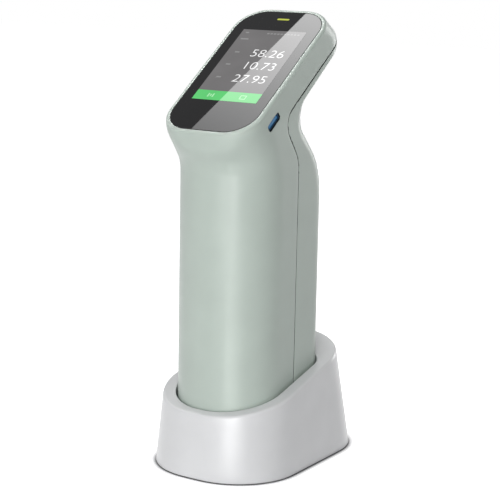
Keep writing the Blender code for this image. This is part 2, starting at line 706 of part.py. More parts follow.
PORT_DEPTH = MAIN_BOARD_DEPTH - GAP - SOCKET_HEIGHT / 2
SIDE_PLACE = HEAD @ Matrix.Translation((0.0, -SIDE_PORT_DOWN, -PORT_DEPTH)) @ SIDEWAYS
SIDE_REACH = side_reach(SIDE_PLACE)
SOCKET_MOUTH = SIDE_REACH - SOCKET_RECESS
BUTTON_PLACE = Matrix.Translation((0.0, -BUTTON_FORWARD, BUTTON_HEIGHT)) @ SIDEWAYS
POWER_FLANGE_FACE = SIDE_REACH - HOUSING_WALL - POWER_KEY_SEAT
POWER_FLANGE_BACK = POWER_FLANGE_FACE - KEY_FLANGE_THICKNESS
POWER_SWITCH_FACE = POWER_FLANGE_BACK - POWER_KEY_TRAVEL - GAP
HEAD_STACK_HALF_WIDTH = POWER_SWITCH_FACE
BUTTON_FLANGE_FACE = INNER_HALF_WIDTH - GAP
BUTTON_FLANGE_BACK = BUTTON_FLANGE_FACE - KEY_FLANGE_THICKNESS
BUTTON_SWITCH_FACE = BUTTON_FLANGE_BACK - BUTTON_TRAVEL - GAP
BUTTON_BOARD_FACE = BUTTON_SWITCH_FACE - SWITCH_REACH - GAP


def slot_outline(length, width, steps=6):
    """Round-ended outline, long along its first axis."""
    turned_round = rounded_rectangle(width, length, width / 2, steps)
    return [(y, -x) for x, y in turned_round]


def upright_slot(length, width, steps=6):
    return rounded_rectangle(width, length, width / 2, steps)


def grown_slot(maker, length, width, amount):
    return maker(length + 2 * amount, width + 2 * amount)


# Housing, glass and display

def make_front_housing(parent):
    shell = housing_skin("front_housing", 0.0, CORNER_STEPS, BEND_STEPS, parent)
    cut(shell, housing_room(parent), seam_side("rear_side", SEAM_GAP / 2, parent))
    bed = rounded_rectangle(GLASS_WIDTH + 2 * GAP, GLASS_LENGTH + 2 * GAP, GLASS_CORNER + GAP, CORNER_STEPS)
    cut(shell, extruded("glass_bed", bed, -BED_DEPTH, OVERRUN, parent, HEAD))
    opening = rounded_rectangle(PANEL_WIDTH + 2 * GAP, PANEL_LENGTH + 2 * GAP, PANEL_CORNER + GAP, 2)
    display = HEAD @ Matrix.Translation((0.0, DISPLAY_UP, 0.0))
    cut(shell, extruded("window", opening, -ROOF_DEPTH - LEDGE_THICKNESS, 0.0, parent, display))
    light = HEAD @ Matrix.Translation((0.0, LIGHT_SLOT_UP, 0.0))
    slit = slot_outline(LIGHT_SLOT_LENGTH, LIGHT_SLOT_WIDTH)
    cut(shell, extruded("light_slot", slit, -ROOF_DEPTH - LEDGE_THICKNESS, 0.0, parent, light))
    inside = INNER_HALF_WIDTH - OVERRUN
    socket = grown_slot(slot_outline, SOCKET_LENGTH, SOCKET_HEIGHT, SOCKET_SLOT_CLEARANCE)
    cut(shell, extruded("socket_slot", socket, inside, HANDLE_WIDTH, parent, SIDE_PLACE))
    key = grown_slot(slot_outline, POWER_KEY_LENGTH, POWER_KEY_WIDTH, GAP)
    cut(shell, extruded("key_slot", key, -HANDLE_WIDTH, -inside, parent, SIDE_PLACE))
    button = grown_slot(upright_slot, BUTTON_LENGTH, BUTTON_WIDTH, GAP)
    cut(shell, extruded("button_slot", button, -HANDLE_WIDTH, -inside, parent, BUTTON_PLACE))
    cut(shell, *screw_bores(parent))
    return dressed(shell, SAGE_PLASTIC)


def make_rear_housing(parent):
    shell = housing_skin("rear_housing", 0.0, CORNER_STEPS, BEND_STEPS, parent)
    cut(shell, housing_room(parent), seam_side("front_side", -SEAM_GAP / 2, parent))
    cut(shell, *screw_bores(parent))
    return dressed(shell, SAGE_PLASTIC)


def make_display_glass(head):
    outline = rounded_rectangle(GLASS_WIDTH, GLASS_LENGTH, GLASS_CORNER, CORNER_STEPS)
    glass = extruded("display_glass", outline, -GLASS_THICKNESS, 0.0, head)
    soften_top_edge(glass, GLASS_EDGE_ROUND)
    return dressed(glass, BLACK_GLASS)


def soften_top_edge(thing, width):
    """Bevel the edges round the highest face of a flat piece."""
    builder = bmesh.new()
    builder.from_mesh(thing.data)
    top = max(vertex.co.z for vertex in builder.verts)
    rim = [edge for edge in builder.edges if all(top - vertex.co.z < MERGE_DISTANCE for vertex in edge.verts)]
    bmesh.ops.bevel(builder, geom=rim, offset=width, segments=1, profile=0.5, affect="EDGES")
    builder.to_mesh(thing.data)
    builder.free()


def make_display(head):
    turn = Matrix.Translation((0.0, DISPLAY_UP, 0.0))
    panel_top = GLASS_THICKNESS + GAP
    panel_bottom = panel_top + PANEL_THICKNESS
    panel = extruded("display_panel", rounded_rectangle(PANEL_WIDTH, PANEL_LENGTH, PANEL_CORNER, 2),
                     -panel_bottom, -panel_top, head, turn)
    dressed(panel, PANEL_GREY)
    width = 2 * HEAD_STACK_HALF_WIDTH
    length = PANEL_LENGTH + 2 * FRAME_RIM
    floor_top = panel_bottom + GAP
    floor_bottom = floor_top + FRAME_FLOOR
    frame = extruded("display_frame", rounded_rectangle(width, length, FRAME_RIM, 2),
                     -floor_bottom, -ROOF_DEPTH - GAP, head, turn)
    tray = rounded_rectangle(PANEL_WIDTH + 2 * GAP, PANEL_LENGTH + 2 * GAP, PANEL_CORNER + GAP, 2)
    cut(frame, extruded("tray", tray, -floor_top, 0.0, head, turn))
    leg_end = MAIN_BOARD_DEPTH - GAP
    for side in (-1, 1):
        for end in (-1, 1):
            place = Matrix.Translation((side * (width / 2 - FRAME_LEG_INSET_X),
                                        end * (length / 2 - FRAME_LEG_INSET_Y), 0.0))
            fuse(frame, rod("leg", FRAME_LEG_RADIUS, -leg_end, -floor_bottom + FRAME_FLOOR / 2,
                            SMALL_TURN_STEPS, head, turn @ place))
    dressed(frame, GREY_PLASTIC)


def make_status_light(head):
    slit = slot_outline(LIGHT_SLOT_LENGTH - 2 * GAP, LIGHT_SLOT_WIDTH - 2 * GAP)
    turn = Matrix.Translation((0.0, LIGHT_SLOT_UP, 0.0))
    pipe = extruded("status_light_pipe", slit, -MAIN_BOARD_DEPTH + GAP, -GLASS_THICKNESS - GAP, head, turn)
    dressed(pipe, CLEAR_PLASTIC)


def make_main_board(head):
    outline = plan_outline(HEAD_STACK_HALF_WIDTH, -MAIN_BOARD_BOTTOM, MAIN_BOARD_TOP,
                           MAIN_BOARD_BOTTOM_RADIUS, MAIN_BOARD_TOP_RADIUS, 4)
    board = extruded("main_board", outline, -MAIN_BOARD_DEPTH - BOARD_THICKNESS, -MAIN_BOARD_DEPTH, head)
    for x, up in HEAD_POSTS:
        notch = Matrix.Translation((x, up, 0.0))
        cut(board, rod("notch", POST_RADIUS + GAP, -HEAD_DEPTH, 0.0, SMALL_TURN_STEPS, head, notch))
    dressed(board, BOARD_GREEN)


def make_socket(instrument):
    back = SOCKET_MOUTH - SOCKET_REACH
    mouth = SOCKET_MOUTH + OVERRUN
    shell = extruded("usb_port_shell", slot_outline(SOCKET_LENGTH, SOCKET_HEIGHT), back, SOCKET_MOUTH,
                     instrument, SIDE_PLACE)
    hollow = grown_slot(slot_outline, SOCKET_LENGTH, SOCKET_HEIGHT, -SOCKET_SHEET)
    cut(shell, extruded("hollow", hollow, back + SOCKET_SHEET, mouth, instrument, SIDE_PLACE))
    dressed(shell, STEEL)
    tongue = rounded_rectangle(TONGUE_LENGTH, TONGUE_THICKNESS, TONGUE_EDGE, 1)
    bar = extruded("usb_port_tongue", tongue, back + SOCKET_SHEET + GAP, SOCKET_MOUTH - TONGUE_RECESS,
                   instrument, SIDE_PLACE)
    dressed(bar, BLUE_PLASTIC)


# Keys: each sits in its own frame, whose origin is on the line it is pressed along

def pressed_key(name, frame, maker, length, width, outer_face, flange_face, flange_back):
    """Key cap with a flange behind the wall; x runs outward from the middle plane to the left."""
    cap = extruded(name, maker(length, width), flange_back, outer_face, frame)
    soften_top_edge(cap, BUTTON_EDGE_ROUND)
    flange = grown_slot(maker, length, width, KEY_FLANGE)
    fuse(cap, extruded("flange", flange, flange_back, flange_face, frame))
    return dressed(cap, SAGE_PLASTIC)


def left_facing(place):
    """Turn a sideways place so that its pressing line points out of the left wall."""
    return place @ Matrix.Rotation(math.pi, 4, "Y")


def make_power_key(instrument):
    frame = anchor("power_key_line", left_facing(SIDE_PLACE), instrument)
    pressed_key("power_button", frame, slot_outline, POWER_KEY_LENGTH, POWER_KEY_WIDTH,
                SIDE_REACH + POWER_KEY_PROUD, POWER_FLANGE_FACE, POWER_FLANGE_BACK)
    outline = rounded_rectangle(SWITCH_WIDTH, SOCKET_HEIGHT, GAP, 1)
    switch = extruded("power_switch", outline, -POWER_SWITCH_FACE, -POWER_SWITCH_FACE + SWITCH_REACH,
                      instrument, SIDE_PLACE)
    dressed(switch, BLACK_PLASTIC)


def make_measure_button(instrument):
    frame = anchor("measure_button_line", left_facing(BUTTON_PLACE), instrument)
    pressed_key("measure_button", frame, upright_slot, BUTTON_LENGTH, BUTTON_WIDTH,
                HANDLE_WIDTH / 2 + BUTTON_PROUD, BUTTON_FLANGE_FACE, BUTTON_FLANGE_BACK)
    outline = rounded_rectangle(BUTTON_SWITCH_SIDE, BUTTON_SWITCH_SIDE, GAP, 1)
    switch = extruded("measure_switch", outline, -BUTTON_SWITCH_FACE, -BUTTON_SWITCH_FACE + SWITCH_REACH,
                      instrument, BUTTON_PLACE)
    dressed(switch, BLACK_PLASTIC)
    plate = rounded_rectangle(BUTTON_BOARD_WIDTH, BUTTON_BOARD_LENGTH, PANEL_CORNER, 2)
    board = extruded("button_board", plate, -BUTTON_BOARD_FACE, -BUTTON_BOARD_FACE + BOARD_THICKNESS,
                     instrument, BUTTON_PLACE)
    dressed(board, BOARD_GREEN)


# Integrating sphere and measuring end

VIEW_AXIS = Matrix.Rotation(VIEW_ANGLE, 4, "X")
CELL_X = CELL_RADIUS + GAP
SPINE_HALF_WIDTH = BUTTON_BOARD_FACE - BOARD_THICKNESS - GAP
LAMP_BOARD_REAR = SPHERE_RADIUS - GAP
LAMP_BOARD_FRONT = LAMP_BOARD_REAR - BOARD_THICKNESS
LAMP_BOARD_FOOT = SPHERE_CENTRE + math.sqrt(SPHERE_RADIUS ** 2 - (LAMP_BOARD_FRONT - GAP) ** 2)
LAMP_HEIGHT = LAMP_BOARD_FOOT + LAMP_BOARD_HEIGHT / 2


HANDLE_ROOM = (INNER_HALF_WIDTH, -INNER_HALF_DEPTH, INNER_HALF_DEPTH, HANDLE_FRONT_RADIUS - HOUSING_WALL,
               HANDLE_REAR_RADIUS - HOUSING_WALL)


def sphere_half(name, instrument, upper):
    """Half of the sphere with its flange; the lower half ends in the measuring aperture."""
    joint = GAP / 2
    flange = SPHERE_FLANGE_THICKNESS + joint
    flange_angle = math.asin(flange / SPHERE_RADIUS)
    inner_angle = math.asin(2 * joint / SPHERE_INNER_RADIUS)
    seam = [(SPHERE_INNER_RADIUS, joint), (FLANGE_RADIUS, joint), (FLANGE_RADIUS, flange)]
    if upper:
        outside = arc(0.0, 0.0, SPHERE_RADIUS, flange_angle, math.pi / 2, 6)
        inside = arc(0.0, 0.0, SPHERE_INNER_RADIUS, math.pi / 2, inner_angle, 6)
        profile = seam + outside + inside
    else:
        flat = SPHERE_RADIUS - SPHERE_FLAT
        mouth = math.acos(APERTURE_RADIUS / SPHERE_INNER_RADIUS)
        outside = arc(0.0, 0.0, SPHERE_RADIUS, flange_angle, math.asin(flat / SPHERE_RADIUS), 6)
        inside = arc(0.0, 0.0, SPHERE_INNER_RADIUS, mouth, inner_angle, 6)
        profile = seam + outside + [(APERTURE_RADIUS, flat)] + inside
        profile = [(radius, -height) for radius, height in profile]
    profile = [(max(radius, 0.0), height + SPHERE_CENTRE) for radius, height in profile]
    return turned(name, profile, TURN_STEPS, instrument)


def make_sphere(instrument):
    lower = sphere_half("sphere_lower_half", instrument, False)
    dressed(lower, WHITE_COATING)
    upper = sphere_half("sphere_upper_half", instrument, True)
    cut(upper, rod("view_port", BARREL_RADIUS + GAP, SPHERE_CENTRE, MIDDLE_SHELF, TURN_STEPS,
                   instrument, VIEW_AXIS))
    lamp_line = Matrix.Translation((0.0, 0.0, LAMP_HEIGHT)) @ TO_REAR
    cut(upper, rod("lamp_port", LAMP_RADIUS + GAP, 0.0, SPHERE_RADIUS, SMALL_TURN_STEPS,
                   instrument, lamp_line))
    dressed(upper, WHITE_COATING)


def make_lamp(instrument):
    half_width = LAMP_BOARD_WIDTH / 2
    board = box("lamp_board", (-half_width, LAMP_BOARD_FRONT, LAMP_BOARD_FOOT),
                (half_width, LAMP_BOARD_REAR, LAMP_BOARD_FOOT + LAMP_BOARD_HEIGHT), instrument)
    dressed(board, BOARD_GREEN)
    back = LAMP_BOARD_FRONT - GAP
    dome = back - LAMP_LENGTH + LAMP_RADIUS
    profile = [(0.0, back), (LAMP_RADIUS, back)]
    profile += [(radius, dome - reach) for radius, reach in arc(0.0, 0.0, LAMP_RADIUS, 0.0, math.pi / 2, 4)]
    profile[-1] = (0.0, dome - LAMP_RADIUS)
    lamp_line = Matrix.Translation((0.0, 0.0, LAMP_HEIGHT)) @ TO_REAR
    dressed(turned("lamp", profile, SMALL_TURN_STEPS, instrument, lamp_line), LAMP_CLEAR)


def make_lens_barrel(instrument):
    """Tube on the viewing axis, from the sphere's port to the spectrometer's floor."""
    run = SPHERE_CENTRE * math.cos(VIEW_ANGLE)
    miss = SPHERE_CENTRE * math.sin(VIEW_ANGLE)
    start = run + math.sqrt(SPHERE_INNER_RADIUS ** 2 - miss ** 2) + GAP
    end = (SPECTROMETER_FLOOR - GAP - BARREL_RADIUS * math.sin(VIEW_ANGLE)) / math.cos(VIEW_ANGLE)
    inner = BARREL_RADIUS - BARREL_WALL
    profile = [(inner, start), (BARREL_RADIUS, start), (BARREL_RADIUS, end), (inner, end)]
    dressed(turned("lens_barrel", profile, SMALL_TURN_STEPS, instrument, VIEW_AXIS), BLACK_METAL)


def make_measuring_end(instrument):
    outline = plan_outline(*grown(HANDLE_ROOM, -GAP), CAVITY_CORNER_STEPS)
    cap = extruded("bottom_cap", outline, 0.0, CAP_THICKNESS, instrument)
    ledge = CAP_THICKNESS - MASK_LEDGE
    seat = [(0.0, -OVERRUN), (MASK_OUTER_RADIUS + GAP, -OVERRUN), (MASK_OUTER_RADIUS + GAP, ledge),
            (MASK_SLEEVE_RADIUS + GAP, ledge), (MASK_SLEEVE_RADIUS + GAP, CAP_THICKNESS + OVERRUN),
            (0.0, CAP_THICKNESS + OVERRUN)]
    cut(cap, turned("seat", seat, TURN_STEPS, instrument))
    dressed(cap, BLACK_PLASTIC)
    mask = [(MASK_INNER_RADIUS, -MASK_PROUD), (MASK_OUTER_RADIUS, -MASK_PROUD),
            (MASK_OUTER_RADIUS, ledge - GAP), (MASK_SLEEVE_RADIUS, ledge - GAP),
            (MASK_SLEEVE_RADIUS, CAP_THICKNESS), (MASK_FUNNEL_RADIUS, CAP_THICKNESS)]
    dressed(turned("target_mask", mask, TURN_STEPS, instrument), BLACK_METAL)


# Chassis, spectrometer and battery

def make_chassis(instrument):
    """Three shelves that fit the handle, tied by rear columns, and a spine behind the cells."""
    outline = plan_outline(*grown(HANDLE_ROOM, -GAP), CAVITY_CORNER_STEPS)

    def shelf(name, height):
        return extruded(name, outline, height, height + SHELF_THICKNESS, instrument)

    chassis = shelf("chassis", LOWER_SHELF)
    cut(chassis, rod("sphere_hole", SPHERE_RADIUS + GAP, 0.0, MIDDLE_SHELF, TURN_STEPS, instrument))
    middle = shelf("middle_shelf", MIDDLE_SHELF)
    cut(middle, rod("barrel_hole", BARREL_RADIUS + GAP, SPHERE_CENTRE, SPECTROMETER_TOP, SMALL_TURN_STEPS,
                    instrument, VIEW_AXIS))
    fuse(chassis, middle, shelf("upper_shelf", UPPER_SHELF))
    for side in (-1, 1):
        middle_x = side * (INNER_HALF_WIDTH - REAR_COLUMN_SIDE_ROOM)
        low = (middle_x - REAR_COLUMN_WIDTH / 2, SPHERE_RADIUS, LOWER_SHELF + SHELF_THICKNESS / 2)
        high = (middle_x + REAR_COLUMN_WIDTH / 2, INNER_HALF_DEPTH - REAR_COLUMN_ROOM,
                UPPER_SHELF + SHELF_THICKNESS / 2)
        fuse(chassis, box("column", low, high, instrument))
    half_spine = SPINE_HALF_WIDTH
    spine = box("spine", (-half_spine, SPINE_FRONT, UPPER_SHELF + SHELF_THICKNESS / 2),
                (half_spine, SPINE_REAR, CELL_SHELF + SHELF_THICKNESS / 2), instrument)
    keeper = plan_outline(CELL_X + CELL_RADIUS, -BATTERY_FORWARD - CELL_RADIUS, SPINE_REAR,
                          CELL_RADIUS, SHELF_THICKNESS, 4)
    fuse(chassis, spine, extruded("keeper", keeper, CELL_SHELF, CELL_SHELF + SHELF_THICKNESS, instrument))
    dressed(chassis, GREY_PLASTIC)


def make_spectrometer(instrument):
    rear = SPHERE_RADIUS - GAP
    front = SPECTROMETER_FRONT_ROOM - SPHERE_RADIUS
    half = INNER_HALF_WIDTH - SPECTROMETER_SIDE_ROOM
    wall = SPECTROMETER_WALL
    case = box("spectrometer_case", (-half, front, SPECTROMETER_FLOOR), (half, rear, SPECTROMETER_TOP),
               instrument)
    cut(case, box("tray", (-half + wall, front + wall, SPECTROMETER_FLOOR + wall),
                  (half - wall, rear - wall, SPECTROMETER_TOP + OVERRUN), instrument))
    cut(case, rod("entrance", ENTRANCE_RADIUS, MIDDLE_SHELF, SPECTROMETER_TOP, SMALL_TURN_STEPS,
                  instrument, VIEW_AXIS))
    dressed(case, BLACK_METAL)
    cover_foot = SPECTROMETER_TOP + GAP
    cover = box("spectrometer_cover", (-half, front, cover_foot),
                (half, rear, cover_foot + SPECTROMETER_COVER), instrument)
    dressed(cover, BLACK_METAL)
    foot = SPECTROMETER_FLOOR + wall + GAP
    top = foot + INNER_PART_HEIGHT
    grating_rear = rear - wall - GAP
    grating = box("diffraction_grating", (-GRATING_WIDTH / 2, grating_rear - GRATING_THICKNESS, foot),
                  (GRATING_WIDTH / 2, grating_rear, top), instrument)
    dressed(grating, STEEL)
    sensor_front = front + wall + GAP
    sensor_half = half - wall - SENSOR_SIDE_ROOM
    sensor = box("sensor_board", (-sensor_half, sensor_front, foot),
                 (sensor_half, sensor_front + BOARD_THICKNESS, top), instrument)
    dressed(sensor, BOARD_GREEN)


def make_battery(instrument):
    top = CELL_FOOT + CELL_LENGTH
    shoulder = top - CELL_TIP_HEIGHT
    edge = CELL_EDGE_ROUND
    profile = [(0.0, CELL_FOOT), (CELL_RADIUS - edge, CELL_FOOT), (CELL_RADIUS, CELL_FOOT + edge),
               (CELL_RADIUS, shoulder - edge), (CELL_RADIUS - edge, shoulder), (CELL_TIP_RADIUS, shoulder),
               (CELL_TIP_RADIUS, top), (0.0, top)]
    for name, side in (("battery_cell_left", -1), ("battery_cell_right", 1)):
        place = Matrix.Translation((side * CELL_X, -BATTERY_FORWARD, 0.0))
        dressed(turned(name, profile, TURN_STEPS, instrument, place), BATTERY_WRAP)
    board_foot = UPPER_SHELF + SHELF_THICKNESS + POWER_BOARD_LIFT
    half = SPINE_HALF_WIDTH - POWER_BOARD_SIDE_ROOM
    board = box("power_board", (-half, SPINE_REAR + GAP, board_foot),
                (half, SPINE_REAR + GAP + BOARD_THICKNESS, board_foot + POWER_BOARD_HEIGHT), instrument)
    dressed(board, BOARD_GREEN)


# Calibration base

def base_outline(height, inset):
    """The base's plan at a height, moved inward by an inset."""
    drawn_in = height * math.tan(BASE_SIDE_DRAFT)
    shrink = BASE_RADIUS_SHRINK_SHARE * drawn_in + inset
    return plan_outline(BASE_WIDTH / 2 - drawn_in - inset,
                        -BASE_LENGTH / 2 + height * math.tan(BASE_FRONT_DRAFT) + inset,
                        BASE_LENGTH / 2 - height * math.tan(BASE_REAR_DRAFT) - inset,
                        BASE_FRONT_RADIUS - shrink, BASE_REAR_RADIUS - shrink, CORNER_STEPS)


def flat_ring(height, inset):
    return [Vector((x, y, height)) for x, y in base_outline(height, inset)]


def rim_ring(inset, drop):
    """Where the drafted side meets the sloping rim plane, or a plane a little below it."""
    slope = math.tan(RIM_SLOPE)
    reference = RIM_MIDDLE_HEIGHT
    ring = []
    for low, high in zip(base_outline(0.0, inset), base_outline(reference, inset)):
        run = (high[1] - low[1]) / reference
        height = (RIM_MIDDLE_HEIGHT - drop + slope * low[1]) / (1 - slope * run)
        share = height / reference
        x, y = (start + (end - start) * share for start, end in zip(low, high))
        ring.append(Vector((x, y, height)))
    return ring


def base_skin(name):
    rings = [flat_ring(BASE_BOTTOM, 2 * BASE_BOTTOM_ROUND), flat_ring(BASE_BOTTOM, 0.0), rim_ring(0.0, 0.0),
             rim_ring(2 * BASE_RIM_ROUND, 0.0)]
    rounds = [0.0, BASE_BOTTOM_ROUND, BASE_RIM_ROUND, 0.0]
    spokes = [softened(list(corners), rounds, BEND_STEPS - 1) for corners in zip(*rings)]
    return loft(name, [list(ring) for ring in zip(*spokes)])


def pocket_prism(name, growth, foot):
    """The handle's outline, grown, from a foot height to above the rim."""
    handle = (HANDLE_WIDTH / 2, -HANDLE_DEPTH / 2 - HANDLE_SETBACK, HANDLE_DEPTH / 2 - HANDLE_SETBACK,
              HANDLE_FRONT_RADIUS, HANDLE_REAR_RADIUS)
    return extruded(name, plan_outline(*grown(handle, growth), CORNER_STEPS), foot, BASE_LENGTH)


PLATE_FOOT = BASE_BOTTOM + PLATE_LIFT
PLATE_TOP = PLATE_FOOT + PLATE_THICKNESS
POCKET_FLOOR = INSTRUMENT_HEIGHT - GAP
POCKET_UNDERSIDE = POCKET_FLOOR - POCKET_WALL
TILE_TOP = INSTRUMENT_HEIGHT - MASK_PROUD - GAP
TILE_FOOT = TILE_TOP - TILE_THICKNESS
HOLDER_FLOOR = TILE_FOOT - GAP
HOLDER_FOOT = HOLDER_FLOOR - HOLDER_WALL
HOLDER_RADIUS = TILE_RADIUS + GAP + HOLDER_WALL
TILE_CENTRE = Matrix.Translation((0.0, -HANDLE_SETBACK, 0.0))
POCKET_REAR = HANDLE_DEPTH / 2 - HANDLE_SETBACK + POCKET_CLEARANCE
REAR_BASE_POST_Y = POCKET_REAR + POCKET_WALL + BASE_POST_RADIUS * REAR_POST_SHARE
BASE_POSTS = [(side * FRONT_BASE_POST_X, -HANDLE_SETBACK - FRONT_BASE_POST_FORWARD) for side in (-1, 1)]
BASE_POSTS += [(side * REAR_BASE_POST_X, REAR_BASE_POST_Y) for side in (-1, 1)]


def base_screw_axis(x, y):
    return Matrix.Translation((x, y, PLATE_TOP)) @ UPSIDE_DOWN


def make_base_shell():
    shell = base_skin("base_shell")
    room = loft("room", [flat_ring(BASE_BOTTOM - OVERRUN, BASE_WALL), rim_ring(BASE_WALL, BASE_WALL)])
    cut(room, pocket_prism("pocket_walls", POCKET_CLEARANCE + POCKET_WALL, POCKET_UNDERSIDE))
    for x, y in BASE_POSTS:
        place = Matrix.Translation((x, y, 0.0))
        cut(room, rod("post", BASE_POST_RADIUS, PLATE_TOP + GAP, PLATE_TOP + GAP + BASE_POST_RISE,
                      SMALL_TURN_STEPS, None, place))
    cut(shell, room, pocket_prism("pocket", POCKET_CLEARANCE, POCKET_FLOOR))
    cut(shell, rod("tile_hole", HOLDER_RADIUS + GAP, 0.0, BASE_LENGTH, TURN_STEPS, None, TILE_CENTRE))
    for x, y in BASE_POSTS:
        place = Matrix.Translation((x, y, 0.0))
        cut(shell, rod("pilot", SCREW_SHANK_RADIUS + GAP, 0.0, PLATE_TOP + BASE_SCREW_GRIP + GAP,
                       SMALL_TURN_STEPS, None, place))
    dressed(shell, SILVER_PLASTIC)


def foot_places():
    front = BASE_FRONT_RADIUS
    rear = BASE_REAR_RADIUS
    places = []
    for radius, end in ((front, -1), (rear, 1)):
        reach = (radius - FOOT_INSET) * math.cos(math.pi / 4)
        x = BASE_WIDTH / 2 - radius + reach
        y = end * (BASE_LENGTH / 2 - radius + reach)
        places += [(-x, y), (x, y)]
    return places


def make_base_plate():
    outline = base_outline(PLATE_TOP, BASE_WALL + GAP)
    plate = extruded("base_plate", outline, PLATE_FOOT, PLATE_TOP)
    boss_radius = TILE_RADIUS - HOLDER_WALL
    boss = rod("boss", boss_radius, PLATE_TOP - PLATE_THICKNESS / 2, HOLDER_FOOT - GAP, TURN_STEPS,
               None, TILE_CENTRE)
    fuse(plate, boss)
    for x, y in foot_places():
        place = Matrix.Translation((x, y, 0.0))
        cut(plate, rod("foot_seat", FOOT_RADIUS + GAP, 0.0, FOOT_HEIGHT + GAP, TURN_STEPS, None, place))
    shank = SCREW_SHANK_RADIUS + GAP
    profile = [(0.0, -OVERRUN), (shank, -OVERRUN), (shank, BASE_SCREW_FLOOR), (SCREW_BORE, BASE_SCREW_FLOOR),
               (SCREW_BORE, PLATE_THICKNESS + OVERRUN), (0.0, PLATE_THICKNESS + OVERRUN)]
    for post in BASE_POSTS:
        cut(plate, turned("bore", profile, SMALL_TURN_STEPS, None, base_screw_axis(*post)))
    dressed(plate, GREY_PLASTIC)


def make_base_feet():
    for index, (x, y) in enumerate(foot_places(), start=1):
        place = Matrix.Translation((x, y, 0.0))
        foot = rod(f"rubber_foot_{index}", FOOT_RADIUS, 0.0, FOOT_HEIGHT, TURN_STEPS, None, place)
        dressed(foot, RUBBER)


def make_tile():
    inner = TILE_RADIUS + GAP
    flange_top = POCKET_UNDERSIDE - GAP
    flange_foot = flange_top - HOLDER_FLANGE_THICKNESS
    flange = HOLDER_RADIUS + HOLDER_FLANGE
    profile = [(0.0, HOLDER_FOOT), (HOLDER_RADIUS, HOLDER_FOOT), (HOLDER_RADIUS, flange_foot),
               (flange, flange_foot), (flange, flange_top), (HOLDER_RADIUS, flange_top),
               (HOLDER_RADIUS, TILE_TOP), (inner, TILE_TOP), (inner, HOLDER_FLOOR), (0.0, HOLDER_FLOOR)]
    dressed(turned("tile_holder", profile, TURN_STEPS, None, TILE_CENTRE), BLACK_PLASTIC)
    tile = rod("calibration_tile", TILE_RADIUS, TILE_FOOT, TILE_TOP, TURN_STEPS, None, TILE_CENTRE)
    dressed(tile, WHITE_CERAMIC)


# Assembly

def anchor(name, place, parent=None):
    """Empty that carries a moving piece and lies on the line it moves along."""
    empty = bpy.data.objects.new(name, None)
    empty.empty_display_size = GLASS_WIDTH
    bpy.context.collection.objects.link(empty)
    empty.parent = parent
    empty.matrix_local = place
    return empty


def make_screws(instrument):
    handle_floor = SEAM_GAP / 2 + POST_FLOOR
    head_floor = SEAM_GAP / 2 + HEAD_POST_FLOOR
    number = 0
    for post in HANDLE_POSTS:
        number += 1
        screw(f"housing_screw_{number}", handle_screw_axis(*post), handle_floor, SCREW_HEAD_HEIGHT,
              SCREW_GRIP, instrument)
    for post in HEAD_POSTS:
        number += 1
        screw(f"housing_screw_{number}", head_screw_axis(*post), head_floor, HEAD_SCREW_HEAD_HEIGHT,
              SCREW_GRIP, instrument)
    for index, post in enumerate(BASE_POSTS, start=1):
        screw(f"base_screw_{index}", base_screw_axis(*post), BASE_SCREW_FLOOR, BASE_SCREW_HEAD_HEIGHT,
              BASE_SCREW_GRIP, None)


def build():
    make_base_shell()
    make_base_plate()
    make_base_feet()
    make_tile()
    instrument = anchor("instrument_line", Matrix.Translation((0.0, -HANDLE_SETBACK, INSTRUMENT_HEIGHT)))
    head = anchor("head_frame", HEAD, instrument)
    make_front_housing(instrument)
    make_rear_housing(instrument)
    make_display_glass(head)
    make_display(head)
    make_status_light(head)
    make_main_board(head)
    make_socket(instrument)
    make_power_key(instrument)
    make_measure_button(instrument)
    make_sphere(instrument)
    make_lamp(instrument)
    make_lens_barrel(instrument)
    make_measuring_end(instrument)
    make_chassis(instrument)
    make_spectrometer(instrument)
    make_battery(instrument)
    make_screws(instrument)


build()
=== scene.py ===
"""Dressed model of the handheld colorimeter: fine housings, base, display and small parts over the solids."""
import math

import bmesh
import bpy
from mathutils import Matrix, Vector


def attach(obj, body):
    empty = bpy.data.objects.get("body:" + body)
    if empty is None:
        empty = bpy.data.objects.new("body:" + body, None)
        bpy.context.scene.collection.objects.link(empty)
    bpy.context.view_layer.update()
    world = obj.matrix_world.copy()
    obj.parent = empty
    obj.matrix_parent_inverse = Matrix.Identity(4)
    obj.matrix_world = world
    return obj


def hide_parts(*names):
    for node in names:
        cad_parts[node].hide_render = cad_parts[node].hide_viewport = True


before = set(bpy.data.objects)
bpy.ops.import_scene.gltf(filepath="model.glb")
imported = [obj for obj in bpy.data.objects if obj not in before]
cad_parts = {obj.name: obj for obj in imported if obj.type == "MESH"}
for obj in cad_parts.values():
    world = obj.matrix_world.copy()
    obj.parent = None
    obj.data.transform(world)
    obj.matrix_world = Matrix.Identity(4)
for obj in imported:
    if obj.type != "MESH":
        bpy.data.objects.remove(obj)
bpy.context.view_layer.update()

# Sizes shared with the solids, in metres
GAP = 0.0003
SEAM_GAP = 0.0004
GLASS_GAP = 0.0001
WALL = 0.002
MERGE = 0.000002

HANDLE_WIDTH = 0.0538
HANDLE_DEPTH = 0.0662
HANDLE_FRONT_RADIUS = 0.0254
HANDLE_REAR_RADIUS = 0.0101
HANDLE_BOTTOM_ROUND = 0.001

GLASS_HEIGHT = 0.1785
GLASS_LEAN = math.radians(34.85)
GLASS_WIDTH = 0.048
GLASS_LENGTH = 0.0904
GLASS_CORNER = 0.014
GLASS_THICKNESS = 0.0011
BED_DEPTH = 0.0013
ROOF_DEPTH = 0.0029
RIM_ROUND = 0.0014
RIM = GAP + 0.00035 + RIM_ROUND
HEAD_HALF_LENGTH = GLASS_LENGTH / 2 + RIM
HEAD_HALF_WIDTH = GLASS_WIDTH / 2 + RIM

